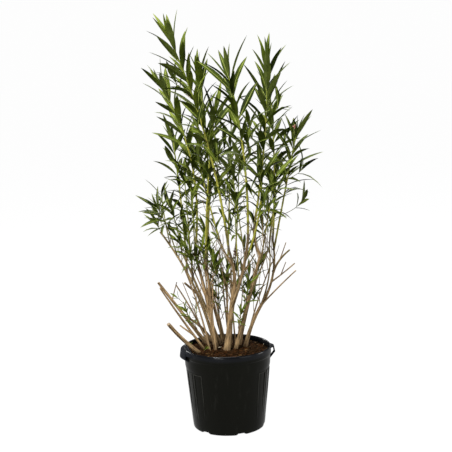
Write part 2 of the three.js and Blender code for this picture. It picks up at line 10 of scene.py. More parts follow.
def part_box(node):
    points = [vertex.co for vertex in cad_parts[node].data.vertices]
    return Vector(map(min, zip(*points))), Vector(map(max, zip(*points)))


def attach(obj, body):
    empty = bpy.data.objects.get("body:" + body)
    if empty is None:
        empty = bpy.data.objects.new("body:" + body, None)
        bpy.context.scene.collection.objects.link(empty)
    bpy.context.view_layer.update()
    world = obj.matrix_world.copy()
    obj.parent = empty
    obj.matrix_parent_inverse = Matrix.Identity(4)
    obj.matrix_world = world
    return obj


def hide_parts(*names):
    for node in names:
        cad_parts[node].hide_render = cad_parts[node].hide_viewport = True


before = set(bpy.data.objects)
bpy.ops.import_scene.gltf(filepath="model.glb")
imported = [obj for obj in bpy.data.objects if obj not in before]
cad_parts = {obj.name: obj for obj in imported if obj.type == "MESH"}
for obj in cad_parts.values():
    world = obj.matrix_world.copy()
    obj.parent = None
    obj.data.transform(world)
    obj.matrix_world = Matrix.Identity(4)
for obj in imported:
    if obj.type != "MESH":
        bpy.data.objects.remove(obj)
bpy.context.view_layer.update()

mm = 0.001
upward = Vector((0, 0, 1))
print("frame loaded:", len(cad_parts), "nodes")

# ---------- camera, floor and light ----------
# Metres and degrees; the camera stands left of the pot's front and looks slightly down.
view = {"distance": 3.300, "height": 1.207, "azimuth": -4.0, "down": 9.05, "right": 0.125, "roll": 1.6,
        "lens": 80.6, "sensor": 36.0}


def newObject(name, data):
    made = bpy.data.objects.new(name, data)
    bpy.context.scene.collection.objects.link(made)
    return made


def makeCamera():
    data = bpy.data.cameras.new("studioCamera")
    data.lens = view["lens"]
    data.sensor_width = view["sensor"]
    data.clip_end = 200
    camera = newObject("studioCamera", data)
    azimuth, down, turn, roll = (math.radians(view[k]) for k in ("azimuth", "down", "right", "roll"))
    side = Vector((math.cos(azimuth - turn), math.sin(azimuth - turn), 0))
    ahead = Vector((-side.y, side.x, 0)) * math.cos(down) - upward * math.sin(down)
    top = side.cross(ahead)
    right = side * math.cos(roll) - top * math.sin(roll)
    top = side * math.sin(roll) + top * math.cos(roll)
    turned = Matrix((right, top, -ahead)).transposed()
    place = Vector((math.sin(azimuth), -math.cos(azimuth), 0)) * view["distance"] + upward * view["height"]
    camera.matrix_world = Matrix.Translation(place) @ turned.to_4x4()
    bpy.context.scene.camera = camera


# The floor's own glow keeps it evenly pale, with a faint shade under the pot.
studio = {"floorColour": 0.05, "floorGlow": 0.985, "floorRadius": 60.0}
# Round lamps, in metres and watts: place, height of the point they face, width and power.
lamps = {
    "keyLamp": ((-2.3, -3.0, 3.6), 0.75, 1.2, 370),
    "topLamp": ((0.0, -0.4, 4.6), 0.7, 3.0, 330),
    "fillLamp": ((3.2, -3.2, 1.6), 0.7, 3.0, 80),
    "lowLamp": ((-1.6, -3.4, 0.5), 0.75, 1.6, 50),
    "leftLamp": ((-2.9, 2.4, 1.0), 0.4, 1.2, 110),
    "rightLamp": ((3.4, 0.1, 1.0), 0.4, 1.2, 90),
    "backLamp": ((0.6, 3.6, 2.6), 0.8, 2.6, 130),
}
# All lamps but the top one light only the plant and its pot, so the floor stays evenly pale.
litPieces = bpy.data.collections.new("litPieces")
floorPieces = bpy.data.collections.new("floorPieces")


def makeStudio():
    world = bpy.data.worlds.new("paleStudio")
    world.use_nodes = True
    background = world.node_tree.nodes["Background"]
    background.inputs["Color"].default_value = (1, 1, 1, 1)
    background.inputs["Strength"].default_value = studio["floorGlow"]
    world.cycles_visibility.diffuse = False  # the sky is only a backdrop
    world.cycles_visibility.glossy = False
    bpy.context.scene.world = world
    for name, (place, aim, size, power) in lamps.items():
        data = bpy.data.lights.new(name, "AREA")
        data.shape = "DISK"
        data.size = size
        data.energy = power
        light = newObject(name, data)
        light.location = place
        light.rotation_euler = (upward * aim - Vector(place)).to_track_quat("-Z", "Y").to_euler()
        if name != "topLamp":
            light.light_linking.receiver_collection = litPieces
    bpy.context.scene.view_settings.view_transform = "Standard"


makeCamera()
makeStudio()


# ---------- shader maths ----------
class Wire:
    # One output socket; expressions on it add Math nodes.
    def __init__(self, maker, socket):
        self.maker = maker
        self.socket = socket

    def math(self, operation, first, second):
        return self.maker.node("ShaderNodeMath", {"operation": operation}, {0: first, 1: second})

    def __add__(self, other):
        return self.math("ADD", self, other)

    def __sub__(self, other):
        return self.math("SUBTRACT", self, other)

    def __rsub__(self, other):
        return self.math("SUBTRACT", other, self)

    def __mul__(self, other):
        return self.math("MULTIPLY", self, other)

    __radd__ = __add__
    __rmul__ = __mul__


class Finish:
    # A material under construction, with its Principled shader.
    def __init__(self, name, roughness, specular, coatRoughness=0.2):
        self.material = bpy.data.materials.new(name)
        self.material.use_nodes = True
        self.tree = self.material.node_tree
        self.shader = self.tree.nodes["Principled BSDF"]
        self.put("Roughness", roughness)
        self.put("Specular IOR Level", specular)
        self.put("Coat Roughness", coatRoughness)
        self.place = self.node("ShaderNodeTexCoord", {}, {}, "Object")

    def socketOf(self, sockets, key):
        if isinstance(key, int):
            return sockets[key]
        return [s for s in sockets if s.name == key and s.enabled][0]

    def node(self, kind, settings, values, output=None):
        made = self.tree.nodes.new(kind)
        for key, value in settings.items():
            if key == "stops":
                self.setStops(made.color_ramp, value)
            else:
                setattr(made, key, value)
        for key, value in values.items():
            self.feed(self.socketOf(made.inputs, key), value)
        shown = [s for s in made.outputs if s.enabled]
        return Wire(self, self.socketOf(made.outputs, output) if output else shown[0])

    def setStops(self, ramp, stops):
        for element, (position, shade) in zip(ramp.elements, stops):
            element.position = position
            element.color = (shade, shade, shade, 1)

    def feed(self, socket, value):
        if isinstance(value, Wire):
            self.tree.links.new(value.socket, socket)
        elif isinstance(value, tuple) and socket.type == "RGBA":
            socket.default_value = (*value, 1)
        else:
            socket.default_value = value

    def put(self, name, value):
        self.feed(self.socketOf(self.shader.inputs, name), value)

    def attribute(self, name, output):
        return self.node("ShaderNodeAttribute", {"attribute_name": name}, {}, output)

    def axis(self, name):
        return self.node("ShaderNodeSeparateXYZ", {}, {"Vector": self.place}, name)

    # A number scales the space evenly, three numbers stretch it.
    def scaled(self, scale, space):
        space = space or self.place
        if isinstance(scale, tuple):
            space = self.node("ShaderNodeMapping", {}, {"Vector": space, "Scale": scale})
            scale = 1.0
        return {"Vector": space, "Scale": scale}

    def clouds(self, scale, detail=3.0, roughness=0.55, space=None):
        values = dict(self.scaled(scale, space), Detail=detail, Roughness=roughness)
        return self.node("ShaderNodeTexNoise", {}, values, "Fac")

    def cells(self, scale, space=None):
        return self.node("ShaderNodeTexVoronoi", {}, self.scaled(scale, space), "Distance")

    # 0 where the factor is "black" and 1 where it is "white", even between them.
    def ramp(self, factor, black, white):
        stops = sorted(((black, 0), (white, 1)))
        return self.node("ShaderNodeValToRGB", {"stops": stops}, {"Fac": factor}, "Color")

    def mix(self, factor, first, second):
        values = {"Factor": factor, "A": first, "B": second}
        return self.node("ShaderNodeMix", {"data_type": "RGBA"}, values)

    def bump(self, height, distance, strength):
        values = {"Height": height, "Distance": distance, "Strength": strength}
        self.put("Normal", self.node("ShaderNodeBump", {}, values))


def paleFloor():
    finish = Finish("paleFloor", 0.8, 0.0)
    shade = studio["floorColour"]
    finish.put("Base Color", finish.mix(finish.clouds(3.0, 2.0), (shade,) * 3, (shade * 0.995,) * 3))
    finish.put("Emission Color", (1.0, 1.0, 1.0))
    finish.put("Emission Strength", studio["floorGlow"])
    return finish.material


def blackPlastic():
    finish = Finish("blackPlastic", 0.3, 0.035, coatRoughness=0.14)
    across, along, height = (finish.axis(name) for name in "XYZ")
    wall = 0.121 + 0.0976 * height  # the plain wall's radius, which widens upwards
    raised = (across * across + along * along - wall * wall) * 3.75  # metres off that wall
    # painted highlight: the raised frame beads are painted a lighter grey than the wall, as if lit along their
    # edges
    paintedBeadHighlight = finish.ramp(raised * 100, 0.06, 0.11) * finish.ramp(height, 0.207, 0.204)
    drift = finish.clouds((9, 9, 2.2), 4.0)
    speck = finish.clouds(420.0, 2.0)
    scuff = finish.ramp(finish.clouds((60, 60, 14), 6.0), 0.58, 0.78)
    rim = finish.ramp(height * 3, 0.762, 0.786)
    base = finish.mix(drift, (0.0018, 0.0019, 0.0013), (0.0046, 0.0047, 0.0034))
    base = finish.mix(scuff * 0.12, base, (0.030, 0.030, 0.026))
    base = finish.mix(paintedBeadHighlight * 0.8, base, (0.022, 0.022, 0.019))
    # painted dark reflection: the rim band is painted a darker blue-black, standing in for the dark
    # surroundings mirrored under the lip's bright top edge
    base = finish.mix(rim * 0.9, base, (0.0014, 0.0017, 0.0026))
    finish.put("Base Color", base)
    finish.put("Coat Weight", 0.13 * rim)
    finish.put("Roughness", 0.22 + 0.12 * drift + 0.1 * scuff + 0.05 * speck + 0.14 * rim)
    finish.bump(finish.clouds((34, 34, 5)) + 0.12 * speck, 0.0007, 0.6)
    return finish.material


def compostSoil():
    finish = Finish("compostSoil", 0.95, 0.02)
    patch = finish.clouds(26.0, 5.0, 0.65)
    crumb = finish.cells(330.0)
    fibre = finish.clouds((500, 120, 300), 4.0)
    base = finish.mix(finish.ramp(patch, 0.35, 0.65), (0.0024, 0.0012, 0.0005), (0.019, 0.0084, 0.0027))
    base = finish.mix(finish.ramp(fibre, 0.5, 0.72) * 0.5, base, (0.040, 0.0205, 0.0068))
    base = finish.mix(finish.ramp(crumb, 0.35, 0.02) * 0.55, base, (0.007, 0.0036, 0.0018))
    finish.put("Base Color", base)
    finish.bump(crumb + 0.6 * fibre + patch, 0.003, 0.9)
    return finish.material


def caneBark():
    finish = Finish("caneBark", 0.85, 0.1)
    cane = finish.attribute("caneSpace", "Vector")
    age = finish.attribute("age", "Fac")
    streak = finish.clouds((420, 420, 26), 5.0, 0.6, cane)
    patch = finish.clouds((46, 46, 15), space=cane)
    fine = finish.clouds((900, 900, 220), space=cane)
    lenticel = finish.ramp(finish.cells((210, 210, 420), cane), 0.3, 0.16)
    base = finish.mix(finish.ramp(patch, 0.35, 0.65), (0.070, 0.039, 0.016), (0.225, 0.142, 0.062))
    base = finish.mix(finish.ramp(streak, 0.35, 0.68) * 0.75, base, (0.400, 0.275, 0.140))
    # partly the bark's own dark streaks, partly painted shade: the bark is darkest in the grooves that the
    # streak bump cuts
    base = finish.mix(finish.ramp(streak, 0.52, 0.34) * 0.92, base, (0.020, 0.0115, 0.006))
    base = finish.mix(lenticel * 0.4, base, (0.270, 0.220, 0.155))
    base = finish.mix(finish.ramp(fine, 0.45, 0.3) * 0.4, base, (0.034, 0.024, 0.015))
    base = finish.mix(age * 0.6, base, (0.085, 0.110, 0.026))  # thin wood is still half green
    darkerFoot = finish.ramp(finish.axis("Z") * 3, 0.87, 0.80)  # the bark is darker towards its foot
    finish.put("Base Color", finish.mix(darkerFoot * 0.6, base, (0.022, 0.012, 0.006)))
    finish.put("Roughness", 0.72 + 0.2 * streak)
    finish.bump(streak + 0.4 * fine + 0.5 * lenticel, 0.0009, 0.85)
    return finish.material


# Surfaces of two shades mixed by noise. "finish" is roughness and specular, "noises" scale and
# detail; two noises are mixed by the first one's "share" and spread by the "ramp". The first noise
# shifts and varies the roughness by "vary" and gives the bump's distance and strength.
recipes = {
    "grip": {"finish": (0.75, 0.03), "noises": [(300, 3)], "vary": (-0.07, 0.14), "bump": (0.0003, 0.5)},
    "chip": {"finish": (0.9, 0.02), "noises": [((210, 640, 420), 4), (120, 3)], "share": 0.7,
             "ramp": (0.3, 0.7), "bump": (0.0008, 0.8)},
    "wood": {"finish": (0.85, 0.2), "noises": [(900, 3)], "bump": (0.0004, 0.7)},
    "stem": {"finish": (0.5, 0.15), "noises": [((480, 480, 40), 3), (55, 3)], "share": 0.6,
             "ramp": (0.32, 0.66), "vary": (-0.08, 0.2), "bump": (0.0004, 0.5)},
    "leaf": {"finish": (0.5, 0.05), "noises": [(380, 3), (32, 2)], "share": 0.1, "ramp": (0.34, 0.66),
             "vary": (-0.06, 0.16), "bump": (0.0004, 0.5)},
    "petal": {"finish": (0.7, 0.25), "noises": [(520, 3)], "bump": (0.0006, 0.7)},
}
# Recipe, dark and light shade, and where they differ the roughness and specular.
shades = {
    "gripPlastic": ("grip", (0.0044, 0.0050, 0.0066), (0.0086, 0.0092, 0.0112)),
    "chipRed": ("chip", (0.012, 0.0046, 0.0014), (0.046, 0.0185, 0.0056)),
    "chipBrown": ("chip", (0.006, 0.0031, 0.0012), (0.027, 0.0132, 0.0048)),
    "chipTan": ("chip", (0.042, 0.023, 0.0085), (0.125, 0.074, 0.028)),
    "chipCream": ("chip", (0.480, 0.400, 0.270), (0.760, 0.680, 0.520)),
    "cutWood": ("wood", (0.130, 0.094, 0.058), (0.270, 0.205, 0.135)),
    "stemBrown": ("stem", (0.062, 0.046, 0.026), (0.140, 0.106, 0.062)),
    "twigBark": ("stem", (0.080, 0.050, 0.023), (0.225, 0.150, 0.072)),
    "stemHalfRipe": ("stem", (0.130, 0.110, 0.030), (0.235, 0.205, 0.060)),
    "stemYellow": ("stem", (0.190, 0.188, 0.022), (0.320, 0.305, 0.048)),
    "stemGreen": ("stem", (0.092, 0.112, 0.012), (0.180, 0.205, 0.028)),
    "leafYoung": ("leaf", (0.0580, 0.0790, 0.0077), (0.1050, 0.1330, 0.0150)),
    "leafFresh": ("leaf", (0.0378, 0.055, 0.0043), (0.0757, 0.0998, 0.0095)),
    "leafMid": ("leaf", (0.0189, 0.0301, 0.0026), (0.0447, 0.0636, 0.006)),
    "leafDeep": ("leaf", (0.007, 0.012, 0.0012), (0.021, 0.032, 0.003)),
    "leafBack": ("leaf", (0.042, 0.058, 0.009), (0.084, 0.106, 0.020), (0.65, 0.04)),
    "leafRib": ("leaf", (0.130, 0.150, 0.030), (0.220, 0.240, 0.060), (0.55, 0.05)),
    "deadPetal": ("petal", (0.045, 0.026, 0.016), (0.150, 0.092, 0.058)),
    "pinkBud": ("petal", (0.300, 0.110, 0.100), (0.520, 0.230, 0.200)),
}


def mottled(name, kind, dark, light, own=None):
    recipe = recipes[kind]
    roughness, specular = own or recipe["finish"]
    finish = Finish(name, roughness, specular)
    noises = [finish.clouds(*row) for row in recipe["noises"]]
    blend = noises[0]
    if "share" in recipe:
        blend = finish.ramp(noises[0] * recipe["share"] + noises[1] * (1 - recipe["share"]), *recipe["ramp"])
    finish.put("Base Color", finish.mix(blend, dark, light))
    if "vary" in recipe:
        shift, change = recipe["vary"]
        finish.put("Roughness", roughness + shift + change * noises[0])
    finish.bump(noises[0], *recipe["bump"])
    return finish.material


finishes = {"floor": paleFloor(), "pot": blackPlastic(), "soil": compostSoil(), "bark": caneBark()}
finishes.update({name: mottled(name, *row) for name, row in shades.items()})
print("finishes made:", len(finishes))


# ---------- making objects ----------
def addObject(name, mesh, materials, slotName, replaced=()):
    for material in materials:
        mesh.materials.append(finishes[material])
    made = newObject(name, mesh)
    litPieces.objects.link(made)
    if slotName == "plastic":
        floorPieces.objects.link(made)  # the pale floor is mirrored in the pot
    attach(made, "root")
    if replaced:
        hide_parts(*replaced)
    print("made", name, len(mesh.polygons), "faces")


def toMesh(bm, name, sharpDegrees=40):
    mesh = bpy.data.meshes.new(name)
    bm.to_mesh(mesh)
    bm.free()
    return smooth(mesh, sharpDegrees)


def smooth(mesh, sharpDegrees):
    mesh.polygons.foreach_set("use_smooth", [True] * len(mesh.polygons))
    mesh.set_sharp_from_angle(angle=math.radians(sharpDegrees))
    return mesh


def layFloor():
    bm = bmesh.new()
    bmesh.ops.create_circle(bm, cap_ends=True, segments=64, radius=studio["floorRadius"])
    mesh = toMesh(bm, "floor")
    mesh.materials.append(finishes["floor"])
    floor = newObject("floor", mesh)
    floorPieces.objects.link(floor)
    floor.light_linking.receiver_collection = floorPieces


# A turned body from the radius and height of each point of its profile.
def turnedBody(profile, steps):
    bm = bmesh.new()
    chain = [bm.verts.new((radius * mm, 0, z * mm)) for radius, z in profile]
    for first, second in zip(chain, chain[1:]):
        bm.edges.new((first, second))
    bmesh.ops.spin(bm, geom=bm.verts[:] + bm.edges[:], cent=(0, 0, 0), axis=(0, 0, 1),
                   angle=math.tau, steps=steps, use_merge=True)
    bmesh.ops.remove_doubles(bm, verts=bm.verts[:], dist=1e-5)
    bmesh.ops.recalc_face_normals(bm, faces=bm.faces[:])
    return bm


layFloor()

# ---------- pot and grips ----------
pot = {
    "height": 276, "baseRadius": 121, "rimRadius": 147, "wallTop": 141.5, "collarTop": 145, "wall": 3,
    "collarFoot": 210, "lipFoot": 248, "steps": 180,
    "fields": (-160, -140, -40, -20, 20, 40, 140, 160),  # middles of the sunk fields
    "fieldSpan": 16, "fieldLow": 44, "fieldHigh": 204, "beadSlope": 0.6, "beadWidth": 2.0, "beadRise": 1.3,
    "fieldDepth": 0.9, "fadeLow": 50, "fadeSpan": 80,
    "notches": 6, "firstNotch": 45, "notchSpan": 7.6, "notchHeight": 5, "notchEase": 2.2,
}


def wallAt(z):
    return pot["baseRadius"] + (pot["wallTop"] - pot["baseRadius"]) * z / pot["collarFoot"]


def potProfile():
    base, rim, collar, inner = (pot[k] for k in ("baseRadius", "rimRadius", "collarTop", "wall"))
    foot, lip, top = (pot[k] for k in ("collarFoot", "lipFoot", "height"))
    points = [(0, 0), (base - 14, 0), (base - 5, 0), (base - 2.2, 0.7), (base - 0.6, 2.6), (base + 0.3, 6)]
    points += [(wallAt(z), z) for z in (20, pot["fieldLow"], 80, 120, 160, pot["fieldHigh"])]
    points += [(wallAt(foot) - 0.1, foot - 3), (wallAt(foot) + 0.5, foot), (wallAt(foot) + 1.3, foot + 4)]
    points += [(collar - 1.5, foot + 9), (collar - 0.5, lip - 9), (collar - 0.1, lip - 2.2)]
    points += [(collar + 0.3, lip - 0.7), (rim - 0.9, lip + 0.2), (rim - 0.1, lip + 1.6), (rim, lip + 8)]
    points += [(rim, top - 7), (rim - 0.5, top - 3.4), (rim - 1.6, top - 1.2), (rim - 3.0, top)]
    points += [(rim - 4.6, top - 0.6), (rim - 5.6, top - 2.4), (rim - 6, top - 6), (rim - 6.1, lip)]
    points += [(wallAt(foot) - inner, foot - 4), (wallAt(8) - inner, 9)]
    return points + [(wallAt(0) - inner - 3, inner), (0, inner)]


def sinkFields(bm):
    low, high = pot["fieldLow"] * mm, pot["fieldHigh"] * mm
    slope, rise, width, depth = (pot[k] * mm for k in ("beadSlope", "beadRise", "beadWidth", "fieldDepth"))
    for middle in pot["fields"]:
        chosen = []
        for face in bm.faces:
            centre = face.calc_center_median()
            turn = (math.degrees(math.atan2(centre.y, centre.x)) - middle + 180) % 360 - 180
            onWall = math.hypot(centre.x, centre.y) > wallAt(centre.z / mm) * mm - 0.001
            if low < centre.z < high and onWall and abs(turn) < pot["fieldSpan"] / 2:
                chosen.append(face)
        for thickness, lift in ((slope, rise), (width, 0), (slope, -rise - depth)):
            bmesh.ops.inset_region(bm, faces=chosen, thickness=thickness, depth=lift, use_even_offset=True)
    for vert in bm.verts:  # the frames fade out towards the foot
        radius = math.hypot(vert.co.x, vert.co.y)
        wall = wallAt(vert.co.z / mm) * mm
        if abs(radius - wall) < 3 * mm and low - mm < vert.co.z < (pot["fadeLow"] + pot["fadeSpan"]) * mm:
            share = min(1.0, max(0.0, (vert.co.z / mm - pot["fadeLow"]) / pot["fadeSpan"]))
            wanted = wall + (radius - wall) * share
            vert.co.x *= wanted / radius
            vert.co.y *= wanted / radius


def raiseNotches(bm):
    spacing = 360 / pot["notches"]
    for vert in bm.verts:
        if vert.co.z > 7 * mm or math.hypot(vert.co.x, vert.co.y) / mm < pot["baseRadius"] - 16:
            continue
        angle = math.degrees(math.atan2(vert.co.y, vert.co.x))
        away = abs((angle - pot["firstNotch"] + spacing / 2) % spacing - spacing / 2)
        if away < pot["notchSpan"]:
            lift = min(1.0, (pot["notchSpan"] - away) / pot["notchEase"])
            vert.co.z += (pot["notchHeight"] * mm - vert.co.z * 0.4) * lift


def makePot():
    bm = turnedBody(potProfile(), pot["steps"])
    sinkFields(bm)
    raiseNotches(bm)
    addObject("pot_shell", toMesh(bm, "pot_shell", 38), ["pot"], "plastic", ["pot"])


grips = {"strap": 4, "bend": 157.5, "reach": 161.5, "bevel": 1.2, "cuts": 14}
# Turn about the pot, width of the strap and of the plate, the plate's thickness, heights of its top
# and of the strap's foot, and the radius of its curve in plan.
gripSizes = {
    "handle_right": (0, 16, 76, 4, 270, 225, None),
    "handle_left": (188, 76, 138, 14, 273.5, 238, 98),
}


# A flat shape pushed out into a slab.
def addSlab(bm, corners, push):
    face = bm.faces.new([bm.verts.new(corner) for corner in corners])
    made = bmesh.ops.extrude_face_region(bm, geom=[face])
    moved = [v for v in made["geom"] if isinstance(v, bmesh.types.BMVert)]
    bmesh.ops.translate(bm, verts=moved, vec=push)


# The wide grip follows a curve in plan: its outer side falls back towards both ends.
def roundGrip(bm, radius, half, ear, chord):
    for i in range(1, grips["cuts"]):
        bmesh.ops.bisect_plane(bm, geom=bm.verts[:] + bm.edges[:] + bm.faces[:], dist=1e-6,
                               plane_co=(0, (2 * i / grips["cuts"] - 1) * ear, 0), plane_no=(0, 1, 0))
    bend = grips["bend"] * mm
    for vert in bm.verts:
        beyond = max(0.0, abs(vert.co.y) - half) / (ear - half)
        straight = bend + (chord - bend) * beyond
        curved = bend - radius + math.sqrt(radius ** 2 - vert.co.y ** 2)
        share = max(0.0, min(1.0, (vert.co.x - chord) / max(1e-6, straight - chord)))
        vert.co.x += (curved - straight) * share


def makeGrip(node, angle, width, earWidth, *heights):
    curve = heights[-1]
    plate, top, foot = (size * mm for size in heights[:-1])
    strap, bend, reach = (grips[k] * mm for k in ("strap", "bend", "reach"))
    lip, collar = pot["lipFoot"] * mm, pot["collarTop"] * mm
    half, ear = width / 2 * mm, earWidth / 2 * mm
    root = collar + 0.5 * mm
    outer = [(root, top), (bend, top), (reach, lip), (collar - 2 * mm, foot)]
    inner = [(collar - 2 * mm, foot + 1.5 * strap), (reach - 1.1 * strap, lip + 0.4 * strap),
             (bend - strap, top - strap), (root, top - strap)]
    bm = bmesh.new()
    addSlab(bm, [Vector((r, -half, z)) for r, z in outer + inner], (0, 2 * half, 0))
    chord = math.sqrt((pot["rimRadius"] * mm) ** 2 - ear ** 2) - 1 * mm
    plan = [(chord, -ear), (bend, -half), (bend, half), (chord, ear)]
    addSlab(bm, [Vector((x, y, top - plate * 0.98)) for x, y in plan], (0, 0, plate * 0.98 - 0.02 * strap))
    bmesh.ops.recalc_face_normals(bm, faces=bm.faces[:])
    bmesh.ops.bevel(bm, geom=bm.edges[:], offset=grips["bevel"] * mm, offset_type="OFFSET", affect="EDGES",
                    segments=3, profile=0.5, material=-1, clamp_overlap=True)
    if curve:
        roundGrip(bm, curve * mm, half, ear, chord)
    turned = Matrix.Rotation(math.radians(angle), 3, "Z")
    bmesh.ops.rotate(bm, verts=bm.verts[:], cent=(0, 0, 0), matrix=turned)
    addObject(node + "_strap", toMesh(bm, node + "_strap", 35), ["gripPlastic"], "plastic", [node])


makePot()
for gripName, sizes in gripSizes.items():
    makeGrip(gripName, *sizes)

# ---------- compost and its bits ----------
soil = {"top": 266, "flat": 112, "edge": 140.4, "edgeDrop": 8, "rings": 44, "steps": 150, "rough": 3.2,
        "fine": 0.9, "heap": 2.0, "lumpScale": 38, "crumbScale": 260}  # both scales per metre


def soilHeight(x, y):
    slope = max(0.0, (math.hypot(x, y) - soil["flat"] * mm) / ((soil["edge"] - soil["flat"]) * mm))
    lumps, crumbs = soil["lumpScale"], soil["crumbScale"]
    rise = noise.fractal(Vector((x * lumps, y * lumps, 1.7)), 0.9, 2.1, 5) * soil["rough"] * mm
    fine = noise.fractal(Vector((x * crumbs, y * crumbs, 4.1)), 0.8, 2.0, 3) * soil["fine"] * mm
    heap = soil["heap"] * mm * math.exp(-((x + 0.02) ** 2 + y * y) / 0.0032)  # a low rise left of the trunk
    return (soil["top"] - 1.5 - soil["edgeDrop"] * min(1.0, slope)) * mm + rise + fine + heap


def makeSoil():
    edge, rings = soil["edge"], soil["rings"]
    profile = [(0, 3.4), (110, 3.4), (114.5, 9), (135.6, 200), (edge, 246), (edge, 252)]
    bm = turnedBody(profile + [(edge * (1 - i / rings), 262) for i in range(rings + 1)], soil["steps"])
    for vert in bm.verts:
        if vert.co.z > 0.256:
            vert.co.z = soilHeight(vert.co.x, vert.co.y)
    addObject("compost", toMesh(bm, "compost", 60), ["soil"], "soil", ["soil"])


# Chips of pine bark: flat six-sided scraps, dealt out in three tints.
chips = {"count": 950, "long": (5, 17), "wide": (0.35, 0.7), "thick": (0.12, 0.3), "seed": 21,
         "tints": ["chipRed", "chipBrown", "chipTan"], "share": (0.5, 0.43, 0.07)}
# Single bits that show: tint, place, length, width and turn.
oddBits = [
    ("chipCream", (-24.4, 12.4), 13, 6, 20), ("chipCream", (128.3, 53.1), 5, 4.5, 0),
    ("chipTan", (-55.5, 45.3), 16, 6, 70), ("chipTan", (60, -40), 14, 5, 10),
    ("chipTan", (35, -95), 11, 5, -20), ("chipTan", (-70, -88), 12, 6, 50),
    ("chipTan", (100, 48), 12, 5, 100), ("chipTan", (-20, 118), 13, 5, 15),
]


def scrap(bm, rng, tint, middle, size, turn, tilt):
    corners = []
    for layer in (-0.5, 0.5):
        for k in range(6):
            angle = math.tau * (k + 0.35 * rng.random()) / 6
            reach = 0.5 * (0.72 + 0.4 * rng.random())
            corners.append(Vector(s * part for s, part in
                                  zip(size, (reach * math.cos(angle), reach * math.sin(angle), layer))))
    spun = Matrix.Rotation(turn, 3, "Z") @ Matrix.Rotation(tilt[0], 3, "X") @ Matrix.Rotation(tilt[1], 3, "Y")
    verts = [bm.verts.new(middle + spun @ c) for c in corners]
    sides = [(verts[k], verts[(k + 1) % 6], verts[6 + (k + 1) % 6], verts[6 + k]) for k in range(6)]
    for ring in [verts[5::-1], verts[6:]] + sides:
        bm.faces.new(ring).material_index = tint


def scatterChips():
    rng = random.Random(chips["seed"])
    bm = bmesh.new()
    tints = chips["tints"] + ["chipCream"]
    for i in range(chips["count"]):
        radius = (soil["edge"] - 5) * mm * math.sqrt(rng.random())
        angle = math.tau * rng.random()
        x, y = radius * math.cos(angle), radius * math.sin(angle)
        long = rng.uniform(*chips["long"]) * mm * (0.6 + 0.6 * rng.random() ** 2)
        wide = long * rng.uniform(*chips["wide"])
        thick = wide * rng.uniform(*chips["thick"])
        middle = Vector((x, y, soilHeight(x, y) + 0.3 * thick + 0.0004))
        tilt = (rng.gauss(0, 0.28), rng.gauss(0, 0.22))
        tint = tints.index(rng.choices(chips["tints"], chips["share"])[0])
        scrap(bm, rng, tint, middle, (long, wide, thick), math.tau * rng.random(), tilt)
    for tint, (x, y), long, wide, turn in oddBits:
        middle = Vector((x * mm, y * mm, soilHeight(x * mm, y * mm) + 0.0022))
        size = (long * mm, wide * mm, 0.28 * wide * mm)
        scrap(bm, rng, tints.index(tint), middle, size, math.radians(turn), (0.15, -0.1))
    addObject("bark_chips", toMesh(bm, "bark_chips", 30), tints, "soil")


makeSoil()
scatterChips()


# ---------- curves of the plant ----------
class BowedCurve:
    def __init__(self, start, end, bow):
        self.start = Vector(start)
        self.end = Vector(end)
        self.bow = Vector(bow)

    def point(self, t):
        return self.start.lerp(self.end, t) + self.bow * (4 * t * (1 - t))

    # The curve's direction at t and two directions square to it.
    def axes(self, t):
        axis = ((self.end - self.start) + self.bow * (4 - 8 * t)).normalized()
        side = axis.cross(Vector((0, 1, 0))).normalized()
        return axis, side, side.cross(axis)

    # Its direction at t, and the direction square to it at this turn.
    def sprout(self, t, turn):
        axis, side, other = self.axes(t)
        return axis, side * math.cos(turn) + other * math.sin(turn)

    def length(self):
        points = [self.point(i / 12) for i in range(13)]
        return sum((b - a).length for a, b in zip(points, points[1:]))


def mix(first, second, share):
    return first + (second - first) * share


# A limb's name means its tip, a name and a number a share of its length.
def onLimb(place):
    name, share = place if isinstance(place, tuple) else (place, 1)
    return curves[name].point(share)


